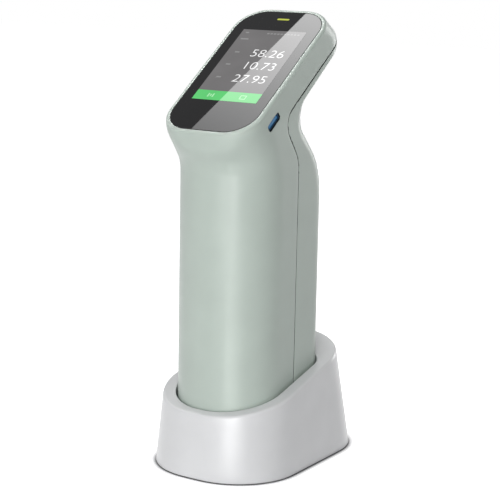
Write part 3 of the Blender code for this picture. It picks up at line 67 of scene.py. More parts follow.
HEAD_DEPTH = 0.0168
HEAD_BACK_OVERHANG = 0.0032
FRONT_BEND = Vector((-HANDLE_DEPTH / 2, 0.1360))
REAR_BEND = Vector((HANDLE_DEPTH / 2, 0.1305))
CHIN = Vector((-0.0384, 0.1433))
NECK = Vector((0.0076, 0.1607))
LIP_SHARE = 0.55

SEAM_SETBACK = 0.00565
SEAM_BEND_HEIGHT = 0.1370
SEAM_ELBOW_REACH = 0.0092
SEAM_HEAD_DEPTH = 0.0131
SEAM_BEND_ROUND = 0.016
SEAM_ELBOW_ROUND = 0.009
SEAM_RIM_ROUND = 0.0003
OPENING_RIM_ROUND = 0.00025

DISPLAY_UP = 0.0031
PANEL_WIDTH = 0.040
PANEL_LENGTH = 0.059
WINDOW_CORNER = 0.0013
BED_RIM_ROUND = 0.00015

SCREW_BORE = 0.0028
SCREW_HEAD_RADIUS = 0.0024
SCREW_SHANK_RADIUS = 0.0011
HEX_RADIUS = 0.0011
SCREW_WEB = 0.0015
SIDE_PORT_DOWN = 0.0266
PORT_DEPTH = 0.0081
SIDE_REACH = 0.02661
SOCKET_LENGTH = 0.00894
SOCKET_HEIGHT = 0.00316
SOCKET_SHEET = 0.0003
SOCKET_REACH = 0.0073
LIP_LENGTH = 0.0107
LIP_HEIGHT = 0.0032
LIP_CORNER = 0.001
LIP_CLEARANCE = 0.0001
POWER_KEY_LENGTH = 0.008
POWER_KEY_WIDTH = 0.0034
BUTTON_LENGTH = 0.022
BUTTON_WIDTH = 0.009
BUTTON_BACK = 0.0013
BUTTON_HEIGHT = 0.122

HANDLE_SETBACK = 0.0138
INSTRUMENT_HEIGHT = 0.014
INSTRUMENT = Matrix.Translation((0.0, -HANDLE_SETBACK, INSTRUMENT_HEIGHT))
HEAD_ON_HANDLE = Matrix.Translation((0.0, 0.0, GLASS_HEIGHT)) @ Matrix.Rotation(GLASS_LEAN, 4, "X")
HEAD = INSTRUMENT @ HEAD_ON_HANDLE
SIDEWAYS = Matrix(((0, 0, 1, 0), (1, 0, 0, 0), (0, 1, 0, 0), (0, 0, 0, 1)))
UPSIDE_DOWN = Matrix.Rotation(math.pi, 4, "X")
LEFT_FACING = Matrix.Rotation(math.pi, 4, "Y")
QUARTER_TURN = Matrix.Rotation(math.pi / 2, 4, "Z")
SIDE_PLACE = HEAD_ON_HANDLE @ Matrix.Translation((0.0, -SIDE_PORT_DOWN, -PORT_DEPTH)) @ SIDEWAYS
BUTTON_PLACE = Matrix.Translation((0.0, -BUTTON_BACK, BUTTON_HEIGHT)) @ SIDEWAYS
GLASS_ALONG = Vector((math.cos(GLASS_LEAN), math.sin(GLASS_LEAN)))
GLASS_OUTWARD = Vector((-math.sin(GLASS_LEAN), math.cos(GLASS_LEAN)))

HANDLE_POST_X = 0.0218
HANDLE_POST_HEIGHT = 0.0072
HANDLE_SCREW_FLOOR = SEAM_GAP / 2 + 0.002
HEAD_POST_X = 0.017
HEAD_POST_UP = 0.0392
HEAD_SCREW_FLOOR = SEAM_GAP / 2 + 0.001


def handle_screw_axis(x):
    """Place of a handle screw, its third axis pointing back out of the rear housing."""
    return Matrix.Translation((x, SEAM_SETBACK, HANDLE_POST_HEIGHT)) @ Matrix.Rotation(-math.pi / 2, 4, "X")


def head_screw_axis(x):
    return HEAD_ON_HANDLE @ Matrix.Translation((x, HEAD_POST_UP, -SEAM_HEAD_DEPTH)) @ UPSIDE_DOWN


# Faces of a housing while it is made: outside, inside, bottom edge, the wall of an opening and a screw well
OUTSIDE, INSIDE, EDGE, WALL_FACE, WELL = range(5)

# Shortest edges left by a cut, how near it faces are made finer, and how far out the side walls start
SEAM_SHORTEST_EDGE = 0.0006
OPENING_SHORTEST_EDGE = 0.0001
FINER_WITHIN = (0.003, 0.0016)
SIDE_WALL_OUT = 0.015


# Outlines and rings

# Steps of an outline: front middle, front corner, side, rear corner and rear middle
HOUSING_STEPS = (2, 20, 24, 14, 6)
BASE_STEPS = (3, 16, 10, 16, 3)
COVER_STEPS = (3, 16, 10, 12, 3)
SCREEN_STEPS = (1, 4, 1, 4, 1)
SLOT_STEPS = (1, 10, 8, 10, 1)
ROUND_POINTS = 48


def arc(centre, radius, start, end, steps):
    """Points of an arc after its first point."""
    angles = [start + (end - start) * step / steps for step in range(1, steps + 1)]
    return [(centre[0] + radius * math.cos(angle), centre[1] + radius * math.sin(angle)) for angle in angles]


def straight(start, end, steps):
    """Points of a straight run after its first point."""
    return [(start[0] + (end[0] - start[0]) * step / steps, start[1] + (end[1] - start[1]) * step / steps)
            for step in range(1, steps + 1)]


def plan_ring(half_width, front, rear, front_radius, rear_radius, steps=HOUSING_STEPS):
    """Closed outline, the same on both sides, from the front middle round by +X."""
    lead, front_steps, side, rear_steps, tail = steps
    front_round = min(front_radius, half_width)
    rear_round = min(rear_radius, half_width)
    right = [(0.0, front)]
    right += straight(right[-1], (half_width - front_round, front), lead)
    right += arc((half_width - front_round, front + front_round), front_round, -math.pi / 2, 0.0, front_steps)
    right += straight(right[-1], (half_width, rear - rear_round), side)
    right += arc((half_width - rear_round, rear - rear_round), rear_round, 0.0, math.pi / 2, rear_steps)
    right += straight(right[-1], (0.0, rear), tail)
    return right + [(-x, y) for x, y in reversed(right[1:-1])]


def lifted(outline, height):
    return [Vector((x, y, height)) for x, y in outline]


def crossing(start, direction, other_start, other_direction):
    """Where two lines of the side view meet."""
    turn = direction.x * other_direction.y - direction.y * other_direction.x
    gap = other_start - start
    return start + direction * ((gap.x * other_direction.y - gap.y * other_direction.x) / turn)


def offset_path(points, amount):
    """Move an open path to its left, keeping its corners sharp."""
    legs = [(after - before).normalized() for before, after in zip(points, points[1:])]
    sides = [Vector((-leg.y, leg.x)) * amount for leg in legs]
    moved = [points[0] + sides[0]]
    for index in range(1, len(legs)):
        moved.append(crossing(points[index] + sides[index - 1], legs[index - 1],
                              points[index] + sides[index], legs[index]))
    return moved + [points[-1] + sides[-1]]


def softened(corners, rounds, arcs, legs):
    """Round the inner corners of a path; rounds that meet on a leg divide it by their size."""
    last = len(corners) - 1
    wanted = [0.0]
    for index in range(1, last):
        opening = (corners[index - 1] - corners[index]).angle(corners[index + 1] - corners[index], math.pi)
        wanted.append(rounds[index] / math.tan(opening / 2))
    wanted.append(0.0)
    path = [corners[0]]
    for index in range(1, last):
        corner = corners[index]
        back = corners[index - 1] - corner
        ahead = corners[index + 1] - corner
        room = [leg.length * 0.96 * wanted[index] / max(wanted[index] + beside, GAP)
                for leg, beside in ((back, wanted[index - 1]), (ahead, wanted[index + 1]))]
        reach = min(wanted[index], *room)
        start = corner + back.normalized() * reach
        end = corner + ahead.normalized() * reach
        before = path[-1]
        path += [before.lerp(start, step / legs[index - 1]) for step in range(1, legs[index - 1])]
        weight = math.sin(back.angle(ahead, math.pi) / 2)
        for step in range(arcs[index] + 1):
            t = step / max(arcs[index], 1)
            near, middle, far = (1 - t) ** 2, 2 * t * (1 - t) * weight, t ** 2
            path.append((start * near + corner * middle + end * far) / (near + middle + far))
    before = path[-1]
    return path + [before.lerp(corners[-1], step / legs[-1]) for step in range(1, legs[-1] + 1)]


# Mesh helpers

def in_order(mesh):
    """Put a mesh's parts in the order of their places, because operators leave another order in each run."""
    def by_corners(item):
        return sorted(vertex.index for vertex in item.verts)

    for parts, place in ((mesh.verts, lambda vertex: tuple(vertex.co)), (mesh.edges, by_corners),
                         (mesh.faces, by_corners)):
        for number, item in enumerate(sorted(parts, key=place)):
            item.index = number
        parts.sort()


def loft(rings, closed=False, layers=None):
    """Skin equal rings one after another; a closed loft joins the last ring to the first."""
    mesh = bmesh.new()
    bmesh.ops.create_circle(mesh, cap_ends=False, segments=len(rings[0]), radius=1)
    mesh.verts.ensure_lookup_table()
    loop = list(mesh.verts)
    first = list(mesh.edges)
    edges = first
    for vertex, point in zip(loop, rings[0]):
        vertex.co = point
    for number, ring in enumerate(rings[1:]):
        made = bmesh.ops.extrude_edge_only(mesh, edges=edges)["geom"]
        if layers:
            for face in (item for item in made if isinstance(item, bmesh.types.BMFace)):
                face.material_index = layers[number]
        fresh = {item for item in made if isinstance(item, bmesh.types.BMVert)}
        edges = [item for item in made if isinstance(item, bmesh.types.BMEdge)
                 and item.verts[0] in fresh and item.verts[1] in fresh]
        loop = [next(edge.other_vert(vertex) for edge in vertex.link_edges
                     if edge.other_vert(vertex) in fresh) for vertex in loop]
        for vertex, point in zip(loop, ring):
            vertex.co = point
    if closed:
        bmesh.ops.remove_doubles(mesh, verts=mesh.verts, dist=MERGE)
    else:
        bmesh.ops.contextual_create(mesh, geom=first)
        bmesh.ops.contextual_create(mesh, geom=edges)
    in_order(mesh)
    return mesh


def lofted(corner_rings, rounds, arcs, legs, place=Matrix(), closed=False):
    """Loft through rings whose corners are rounded from ring to ring."""
    spokes = [softened(list(spoke), rounds, arcs, legs) for spoke in zip(*corner_rings)]
    mesh = loft([list(ring) for ring in zip(*spokes)], closed=closed)
    bmesh.ops.transform(mesh, matrix=place, verts=mesh.verts)
    return mesh


def finished(name, mesh, finish, body, replaced, sharp=35, shade_on_walls=None):
    """Turn a bmesh into a piece that rides on a body and stands for the solids it replaces."""
    in_order(mesh)
    bmesh.ops.remove_doubles(mesh, verts=mesh.verts, dist=MERGE)
    bmesh.ops.dissolve_degenerate(mesh, edges=mesh.edges, dist=MERGE)
    bmesh.ops.recalc_face_normals(mesh, faces=mesh.faces)
    # Walls of the cuts take the second material, a near-black painted shade, when one is given
    for face in mesh.faces:
        face.material_index = 1 if shade_on_walls and face.material_index == WALL_FACE else 0
    data = bpy.data.meshes.new(name)
    mesh.to_mesh(data)
    mesh.free()
    data.shade_smooth()
    data.set_sharp_from_angle(angle=math.radians(sharp))
    data.materials.append(finish)
    if shade_on_walls:
        data.materials.append(shade_on_walls)
    piece = bpy.data.objects.new(name, data)
    bpy.context.scene.collection.objects.link(piece)
    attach(piece, body)
    if replaced:
        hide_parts(*replaced)


def spun(profile, steps, place):
    """Turn (radius, height) points round the Z axis; a profile that doesn't start on the axis is closed."""
    mesh = bmesh.new()
    points = [mesh.verts.new((radius, 0.0, height)) for radius, height in profile]
    ends = points[1:] if profile[0][0] == 0.0 else points[1:] + points[:1]
    edges = [mesh.edges.new((first, second)) for first, second in zip(points, ends)]
    bmesh.ops.spin(mesh, geom=points + edges, cent=(0.0, 0.0, 0.0), axis=(0.0, 0.0, 1.0), angle=math.tau,
                   steps=steps, use_merge=True)
    bmesh.ops.remove_doubles(mesh, verts=mesh.verts, dist=MERGE)
    bmesh.ops.dissolve_degenerate(mesh, edges=mesh.edges, dist=MERGE)
    bmesh.ops.transform(mesh, matrix=place, verts=mesh.verts)
    return mesh


def cut_where_zero(mesh, measure, least):
    """Cut faces along the line where a measure is zero; points closer than the least length move onto it."""
    mesh.verts.index_update()
    reach = {vertex: measure(vertex.co) for vertex in mesh.verts}

    def ends_of(edge):
        return sorted(edge.verts, key=lambda vertex: vertex.index)

    for edge in mesh.edges:
        first, second = ends_of(edge)
        if reach[first] * reach[second] < 0:
            share = reach[first] / (reach[first] - reach[second])
            meeting = first.co.lerp(second.co, share)
            for vertex in (first, second):
                if (vertex.co - meeting).length < least:
                    vertex.co = meeting
                    reach[vertex] = 0.0
                    break
    for edge in [edge for edge in mesh.edges if reach[edge.verts[0]] * reach[edge.verts[1]] < 0]:
        first, second = ends_of(edge)
        share = reach[first] / (reach[first] - reach[second])
        reach[bmesh.utils.edge_split(edge, first, share)[1]] = 0.0
    for face in list(mesh.faces):
        around = [reach[vertex] for vertex in face.verts]
        if min(around) < 0 < max(around):
            count = len(around)
            ends = [index for index in range(count) if around[index] == 0.0 and around[index - 1] > 0]
            backs = [index for index in range(count) if around[index] == 0.0 and around[index - 1] < 0]
            if ends and backs:
                bmesh.utils.face_split(face, face.verts[ends[0]], face.verts[backs[0]])
    return reach


def remove_side(mesh, reach):
    """Delete the faces on the negative side of a cut and return the new border edges."""
    gone = [face for face in mesh.faces if min(reach.get(vertex, 0.0) for vertex in face.verts) < 0]
    bmesh.ops.delete(mesh, geom=gone, context="FACES")
    return [edge for edge in mesh.edges if edge.is_boundary]


# The moulded housing

def head_point(up, depth):
    """Side view point at a distance up the glass from its centre and a depth below it."""
    return Vector((0.0, GLASS_HEIGHT)) + GLASS_ALONG * up - GLASS_OUTWARD * depth


def housing_lines():
    chin_lip = head_point(-HEAD_HALF_LENGTH, 0.0)
    front = [Vector((-HANDLE_DEPTH / 2, 0.0)), FRONT_BEND, CHIN, CHIN.lerp(chin_lip, LIP_SHARE), chin_lip]
    rear = [Vector((HANDLE_DEPTH / 2, 0.0)), REAR_BEND, NECK,
            head_point(HEAD_HALF_LENGTH + HEAD_BACK_OVERHANG, HEAD_DEPTH), head_point(HEAD_HALF_LENGTH, 0.0)]
    return front, rear


# Half width, front radius, rear radius, front round and rear round of each level, from the foot up
HANDLE_PLAN = (HANDLE_WIDTH / 2, HANDLE_FRONT_RADIUS, HANDLE_REAR_RADIUS)
FOOT_LEVEL = (*HANDLE_PLAN, HANDLE_BOTTOM_ROUND, HANDLE_BOTTOM_ROUND)
BEND_LEVEL = (*HANDLE_PLAN, 0.0143, 0.0305)
CHIN_LEVEL = (0.02705, 0.0223, 0.0122, 0.0164, 0.0121)
LIP_LEVEL = (0.02655, 0.0169, 0.0107, 0.014, 0.006)
GLASS_LEVEL = (HEAD_HALF_WIDTH, GLASS_CORNER + RIM, GLASS_CORNER + RIM, RIM_ROUND, RIM_ROUND)
LEVELS = [FOOT_LEVEL, BEND_LEVEL, CHIN_LEVEL, LIP_LEVEL, GLASS_LEVEL]


def eased(share):
    return share * share * (3 - 2 * share)


def level_ring(front, rear, half_width, front_radius, rear_radius):
    """Points of one level and how far back each one lies, as a share."""
    along = (rear - front).normalized()
    length = (rear - front).length
    outline = plan_ring(half_width, 0.0, length, front_radius, rear_radius)
    points = [Vector((x, front.x + along.x * back, front.y + along.y * back)) for x, back in outline]
    return points, [back / length for x, back in outline]


def head_ring(half_width, front, rear, radius, depth):
    """Ring on a plane parallel to the glass."""
    outline = plan_ring(half_width, front, rear, radius, radius)
    return [Vector((x, *head_point(up, depth))) for x, up in outline]


def skin_levels(front, rear, inset):
    """Points, front round, rear round and shares back of every level, its plan drawn in by an inset."""
    levels = []
    for start, end, (*plan, front_round, rear_round) in zip(front, rear, LEVELS):
        points, back = level_ring(start, end, *[size - inset for size in plan])
        levels.append((points, front_round, rear_round, back))
    return levels


def housing_shell():
    """The whole moulding as one closed skin: outside, glass bed, window, inside and bottom edge."""
    front, rear = housing_lines()
    rings = []
    rounds = []

    def add(points, front_round, rear_round, back):
        rings.append(points)
        rounds.append([front_round + (rear_round - front_round) * eased(share) for share in back])

    inner_front = offset_path(front, -WALL)
    inner_rear = offset_path(rear, WALL)
    roof = head_point(0.0, ROOF_DEPTH)
    inner_front[-1] = crossing(inner_front[-2], inner_front[-1] - inner_front[-2], roof, GLASS_ALONG)
    inner_rear[-1] = crossing(inner_rear[-2], inner_rear[-1] - inner_rear[-2], roof, GLASS_ALONG)
    inner = skin_levels(inner_front, inner_rear, WALL)
    foot = inner[0]
    add(foot[0], 0.0, 0.0, foot[3])
    for level in skin_levels(front, rear, 0.0):
        add(*level)
    flat = [0.5] * len(rings[0])
    seat = GLASS_LENGTH / 2 + GLASS_GAP
    for depth, rim in ((0.0, BED_RIM_ROUND), (BED_DEPTH, 0.0)):
        bed = head_ring(GLASS_WIDTH / 2 + GLASS_GAP, -seat, seat, GLASS_CORNER + GLASS_GAP, depth)
        add(bed, rim, rim, flat)
    half = PANEL_LENGTH / 2 + GAP
    for depth in (BED_DEPTH, ROOF_DEPTH):
        window = head_ring(PANEL_WIDTH / 2 + GAP, DISPLAY_UP - half, DISPLAY_UP + half, WINDOW_CORNER, depth)
        add(window, 0.0, 0.0, flat)
    for level in reversed(inner[1:]):
        add(*level)
    add(foot[0], 0.0, 0.0, foot[3])
    arcs = [0, 4, 18, 14, 14, 7, 2, 0, 0, 0, 2, 4, 6, 6, 0]
    legs = [1, 24, 6, 6, 8, 1, 1, 1, 1, 1, 1, 3, 3, 8]
    spokes = []
    for index in range(len(rings[0])):
        corners = [ring[index] for ring in rings]
        spokes.append(softened(corners, [share[index] for share in rounds], arcs, legs))
    layers = [EDGE] * legs[0]
    for corner in range(1, len(arcs) - 1):
        layers += [OUTSIDE if corner < 7 else INSIDE] * (arcs[corner] + legs[corner])
    mesh = loft([list(ring) for ring in zip(*spokes)], closed=True, layers=layers)
    bmesh.ops.recalc_face_normals(mesh, faces=mesh.faces)
    return mesh


def seam_line():
    """Split line of the two housings in the side view, from the foot up and back along the head."""
    elbow = crossing(Vector((-SEAM_ELBOW_REACH, 0.0)), Vector((0.0, 1.0)), head_point(0.0, SEAM_HEAD_DEPTH),
                     GLASS_ALONG)
    corners = [Vector((SEAM_SETBACK, -WALL)), Vector((SEAM_SETBACK, SEAM_BEND_HEIGHT)), elbow,
               elbow + GLASS_ALONG * GLASS_LENGTH]
    return softened(corners, [0.0, SEAM_BEND_ROUND, SEAM_ELBOW_ROUND, 0.0], [0, 12, 10, 0], [1, 1, 1])


SEAM = seam_line()


def ahead_of_seam(point):
    """Distance of a point ahead of the split line, below zero behind it."""
    spot = Vector((point.y, point.z))
    best = None
    for start, end in zip(SEAM, SEAM[1:]):
        leg = end - start
        share = max(0.0, min(1.0, (spot - start).dot(leg) / leg.length_squared))
        away = spot - start - leg * share
        if best is None or away.length < best[0]:
            best = (away.length, leg.x * (spot.y - start.y) - leg.y * (spot.x - start.x))
    return math.copysign(best[0], best[1])


def boundary_in(mesh, layer):
    return [edge for edge in mesh.edges if edge.is_boundary and edge.link_faces[0].material_index == layer]


def join_walls(mesh):
    """Close the cut between the outside and the inside of the shell, and return its outer edges."""
    outer = boundary_in(mesh, OUTSIDE)
    inner = boundary_in(mesh, INSIDE)
    wall = bmesh.ops.bridge_loops(mesh, edges=outer + inner)["faces"]
    for face in wall:
        face.material_index = WALL_FACE
    left = [edge for edge in mesh.edges if edge.is_boundary]
    if left:
        for face in bmesh.ops.holes_fill(mesh, edges=left, sides=0)["faces"]:
            face.material_index = WALL_FACE
    return [edge for edge in outer if edge.is_valid]


def housing_half(front):
    """One of the two mouldings, cut from the whole along the split line."""
    mesh = housing_shell()
    sign = 1 if front else -1
    reach = cut_where_zero(mesh, lambda point: sign * ahead_of_seam(point) - SEAM_GAP / 2, SEAM_SHORTEST_EDGE)
    remove_side(mesh, reach)
    soften_rim(mesh, join_walls(mesh), SEAM_RIM_ROUND)
    if front:
        side_slot(mesh, SIDE_PLACE, LIP_LENGTH + 2 * LIP_CLEARANCE, LIP_HEIGHT + 2 * LIP_CLEARANCE,
                  LIP_CORNER + LIP_CLEARANCE)
        side_slot(mesh, SIDE_PLACE @ LEFT_FACING, POWER_KEY_LENGTH + 2 * GAP, POWER_KEY_WIDTH + 2 * GAP,
                  POWER_KEY_WIDTH / 2 + GAP)
        side_slot(mesh, BUTTON_PLACE @ LEFT_FACING @ QUARTER_TURN,
                  BUTTON_LENGTH + 2 * GAP, BUTTON_WIDTH + 2 * GAP, BUTTON_WIDTH / 2 + GAP)
    else:
        for x in (-HANDLE_POST_X, HANDLE_POST_X):
            screw_well(mesh, handle_screw_axis(x), HANDLE_SCREW_FLOOR)
        for x in (-HEAD_POST_X, HEAD_POST_X):
            screw_well(mesh, head_screw_axis(x), HEAD_SCREW_FLOOR)
    return mesh


def slot_distance(length, width, radius):
    """Distance outside a slot with rounded corners that lies along the first axis of its place."""
    def outside(spot):
        beside, above = abs(spot.x) - length / 2 + radius, abs(spot.y) - width / 2 + radius
        return math.hypot(max(beside, 0.0), max(above, 0.0)) + min(max(beside, above), 0.0) - radius
    return outside


def open_up(mesh, place, measure, least_height, layers):
    """Cut a hole through the named layers where a measure in the hole's place is below zero."""
    back = place.inverted()

    def reach(point):
        spot = back @ point
        return measure(spot) if spot.z > least_height else 1.0

    def near(margin):
        return [face for face in mesh.faces if face.material_index in layers
                and abs(reach(face.calc_center_median())) < margin]

    for margin in FINER_WITHIN:
        in_order(mesh)
        edges = list(dict.fromkeys(edge for face in near(margin) for edge in face.edges))
        bmesh.ops.subdivide_edges(mesh, edges=edges, cuts=1, use_grid_fill=True)
    in_order(mesh)
    kept = {vertex for face in mesh.faces if face.material_index in layers for vertex in face.verts}
    places = {tuple(vertex.co) for vertex in kept}
    measured = cut_where_zero(mesh, lambda point: reach(point) if tuple(point) in places else 1.0,
                              OPENING_SHORTEST_EDGE)
    remove_side(mesh, measured)


def side_slot(mesh, place, length, width, radius):
    """Slot through the side wall with a softened outer edge."""
    open_up(mesh, place, slot_distance(length, width, radius), SIDE_WALL_OUT, (OUTSIDE, INSIDE))
    soften_rim(mesh, join_walls(mesh), OPENING_RIM_ROUND)


def soften_rim(mesh, edges, width):
    bmesh.ops.bevel(mesh, geom=edges, offset=width, offset_type="OFFSET", segments=3, profile=0.5,
                    affect="EDGES", clamp_overlap=False, material=-1)


def screw_well(mesh, place, floor):
    """Well for a screw head with a hole for its shank, sunk from the outside along the place's third axis."""
    open_up(mesh, place, lambda spot: math.hypot(spot.x, spot.y) - SCREW_BORE, floor, (OUTSIDE,))
    rim = [edge for edge in mesh.edges if edge.is_boundary]
    edges = rim
    back = place.inverted()
    for radius, height in ((SCREW_BORE, floor), (SCREW_SHANK_RADIUS + GAP, floor),
                           (SCREW_SHANK_RADIUS + GAP, floor - SCREW_WEB)):
        made = bmesh.ops.extrude_edge_only(mesh, edges=edges)["geom"]
        fresh = {item for item in made if isinstance(item, bmesh.types.BMVert)}
        for vertex in fresh:
            spot = back @ vertex.co
            away = Vector((spot.x, spot.y)).normalized() * radius
            vertex.co = place @ Vector((away.x, away.y, height))
        for face in (item for item in made if isinstance(item, bmesh.types.BMFace)):
            face.material_index = WELL
        edges = [item for item in made if isinstance(item, bmesh.types.BMEdge)
                 and item.verts[0] in fresh and item.verts[1] in fresh]
    for item in bmesh.ops.contextual_create(mesh, geom=edges)["faces"]:
        item.material_index = WELL
    soften_rim(mesh, rim, OPENING_RIM_ROUND)


# Materials

def surface(name, colour, roughness, metallic=0.0, **extra):
    """Principled finish; extra sets more of the shader's own sockets by name."""
    made = bpy.data.materials.new(name)
    made.use_nodes = True
    shader = made.node_tree.nodes["Principled BSDF"]
    shader.inputs["Base Color"].default_value = (*colour, 1.0)
    shader.inputs["Roughness"].default_value = roughness
    shader.inputs["Metallic"].default_value = metallic
    for socket, value in extra.items():
        shader.inputs[socket.replace("_", " ")].default_value = value
    return made


def pattern(made, scale, detail=2.0):
    """Solid noise in the object's own coordinates, in metres."""
    tree = made.node_tree
    place = tree.nodes.new("ShaderNodeTexCoord")
    texture = tree.nodes.new("ShaderNodeTexNoise")
    texture.inputs["Scale"].default_value = scale
    texture.inputs["Detail"].default_value = detail
    tree.links.new(place.outputs["Object"], texture.inputs["Vector"])
    return texture.outputs[0]


def ranged(tree, source, *limits):
    """Map an output from one range onto another, held at both ends."""
    step = tree.nodes.new("ShaderNodeMapRange")
    for socket, value in zip(("From Min", "From Max", "To Min", "To Max"), limits):
        step.inputs[socket].default_value = value
    tree.links.new(source, step.inputs["Value"])
    return step.outputs["Result"]


def spread(made, source, low, high):
    """Map a pattern's middle range onto values from low to high."""
    return ranged(made.node_tree, source, 0.3, 0.7, low, high)


def grain(made, scale, depth):
    """Fine relief of a moulded or blasted face."""
    tree = made.node_tree
    bump = tree.nodes.new("ShaderNodeBump")
    bump.inputs["Strength"].default_value = 1.0
    bump.inputs["Distance"].default_value = depth
    tree.links.new(pattern(made, scale), bump.inputs["Height"])
    tree.links.new(bump.outputs["Normal"], tree.nodes["Principled BSDF"].inputs["Normal"])
    return made


def uneven_gloss(made, scale, low, high):
    tree = made.node_tree
    tree.links.new(spread(made, pattern(made, scale, 3.0), low, high),
                   tree.nodes["Principled BSDF"].inputs["Roughness"])
    return made


def tinted(made, scale, first, second, socket="Base Color"):
    """Drift of a colour between two close tones."""
    tree = made.node_tree
    blend = tree.nodes.new("ShaderNodeMix")
    blend.data_type = "RGBA"
    blend.inputs["A"].default_value = (*first, 1.0)
    blend.inputs["B"].default_value = (*second, 1.0)
    tree.links.new(spread(made, pattern(made, scale), 0.0, 1.0), blend.inputs["Factor"])
    tree.links.new(blend.outputs["Result"], tree.nodes["Principled BSDF"].inputs[socket])
    return made


def glossy_glass(made):
    """The slightly uneven polish of the cover glass and the layers that lie on it."""
    return uneven_gloss(made, 90.0, 0.004, 0.012)


def moulded(name, colour, roughness, texture=2600.0, depth=0.00001, **extra):
    """Moulded plastic: fine texture, uneven gloss and a slight drift of colour."""
    made = surface(name, colour, roughness, **extra)
    lighter = [value * 1.02 for value in colour]
    darker = [value * 0.975 for value in colour]
    tinted(made, 60.0, darker, lighter)
    uneven_gloss(made, 180.0, roughness * 0.92, roughness * 1.08)
    return grain(made, texture, depth)


SAGE = moulded("sage_satin_plastic", (0.475, 0.545, 0.495), 0.32)
SILVER = moulded("silver_satin_plastic", (0.70, 0.705, 0.715), 0.3, depth=0.000003, Coat_Weight=0.35,
                 Coat_Roughness=0.26)
GLASS_SPECULAR = 0.115
BLACK_GLASS = glossy_glass(surface("black_cover_glass", (0.006, 0.006, 0.007), 0.01,
                                   Specular_IOR_Level=GLASS_SPECULAR))
BLACK_PLASTIC = moulded("black_plastic", (0.028, 0.028, 0.030), 0.5)
GREY_PLASTIC = moulded("grey_plastic", (0.20, 0.21, 0.22), 0.5)
NAVY = moulded("navy_socket_shell", (0.004, 0.05, 0.12), 0.3)
BLUE = moulded("blue_socket_tongue", (0.005, 0.21, 0.50), 0.3)
BOARD = tinted(surface("circuit_board", (0.02, 0.13, 0.05), 0.42), 900.0,
               (0.012, 0.10, 0.035), (0.03, 0.17, 0.07))
STEEL = grain(uneven_gloss(surface("turned_steel", (0.56, 0.57, 0.58), 0.3, 1.0), 700.0, 0.22, 0.4),
              1500.0, 0.000004)
BLACK_METAL = grain(uneven_gloss(surface("black_anodised_metal", (0.03, 0.03, 0.034), 0.4, 0.6),
                                 700.0, 0.34, 0.5), 3000.0, 0.000004)
WHITE_COATING = grain(tinted(surface("white_sphere_coating", (0.86, 0.86, 0.84), 0.9), 300.0,
                             (0.83, 0.83, 0.81), (0.88, 0.88, 0.86)), 4000.0, 0.00001)
CERAMIC = uneven_gloss(tinted(surface("white_glazed_tile", (0.87, 0.87, 0.85), 0.2), 200.0,
                              (0.85, 0.85, 0.83), (0.89, 0.89, 0.87)), 150.0, 0.12, 0.2)
WRAP = moulded("battery_wrap", (0.04, 0.17, 0.38), 0.35, 900.0)
LAMP_GLASS = uneven_gloss(surface("lamp_glass", (0.80, 0.80, 0.70), 0.1), 400.0, 0.06, 0.14)
RUBBER = moulded("rubber", (0.025, 0.025, 0.025), 0.8, 1800.0, 0.00003)
PANEL_BACK = uneven_gloss(surface("display_module", (0.10, 0.10, 0.11), 0.3), 300.0, 0.24, 0.36)
# Near-black painted shade on the walls of the split line and of the side openings, standing in for the shade
# in these gaps
PAINTED_WALL_SHADE = moulded("painted_wall_shade", (0.006, 0.007, 0.006), 0.8, Specular_IOR_Level=0.15)
LIGHT_PIPE = uneven_gloss(surface("status_light_pipe", (0.62, 0.72, 0.25), 0.25), 500.0, 0.2, 0.3)

CARRIED = {
    "base_plate": GREY_PLASTIC, "tile_holder": BLACK_PLASTIC, "calibration_tile": CERAMIC,
    "display_panel": PANEL_BACK, "display_frame": GREY_PLASTIC, "status_light_pipe": LIGHT_PIPE,
    "main_board": BOARD, "usb_port_shell": NAVY, "usb_port_tongue": BLUE, "power_button": SAGE,
    "power_switch": BLACK_PLASTIC, "measure_button": SAGE, "measure_switch": BLACK_PLASTIC,
    "button_board": BOARD, "chassis": GREY_PLASTIC, "battery_cell_left": WRAP, "battery_cell_right": WRAP,
    "power_board": BOARD, "spectrometer_case": BLACK_METAL, "spectrometer_cover": BLACK_METAL,
    "diffraction_grating": STEEL, "sensor_board": BOARD, "lens_barrel": BLACK_METAL,
    "sphere_upper_half": WHITE_COATING, "sphere_lower_half": WHITE_COATING, "lamp": LAMP_GLASS,
    "lamp_board": BOARD, "bottom_cap": BLACK_PLASTIC, "target_mask": BLACK_METAL,
}
for number in range(1, 5):
    CARRIED[f"rubber_foot_{number}"] = RUBBER
    CARRIED[f"base_screw_{number}"] = STEEL
    CARRIED[f"housing_screw_{number}"] = STEEL
for name, finish in CARRIED.items():
    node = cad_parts[name]
    node.data.materials.clear()
    node.data.materials.append(finish)


# Housings

for name, solid, ahead in (("front_moulding", "front_housing", True),
                           ("rear_moulding", "rear_housing", False)):
    half = housing_half(ahead)
    bmesh.ops.transform(half, matrix=INSTRUMENT, verts=half.verts)
    # The cut walls of each moulding carry the near-black painted shade
    finished(name, half, SAGE, "instrument", (solid,), shade_on_walls=PAINTED_WALL_SHADE)


# Cover glass

LOWER_EDGE_ROUND = 0.0001
UPPER_EDGE_ROUND = 0.00012


def cover_glass():
    """Plate with its four edge rings: two around the underside and two around the face."""
    half = GLASS_LENGTH / 2
    rings = []
    for inset, height in ((0.0005, -GLASS_THICKNESS), (0.0, -GLASS_THICKNESS), (0.0, 0.0), (0.0004, 0.0)):
        outline = plan_ring(GLASS_WIDTH / 2 - inset, inset - half, half - inset, GLASS_CORNER - inset,
                            GLASS_CORNER - inset)
        rings.append(lifted(outline, height))
    return lofted(rings, [0.0, LOWER_EDGE_ROUND, UPPER_EDGE_ROUND, 0.0], [0, 1, 4, 0], [1, 1, 1], HEAD)


finished("cover_glass", cover_glass(), BLACK_GLASS, "instrument", ("display_glass",), 50)


# What the display shows, laid on the glass in thin layers

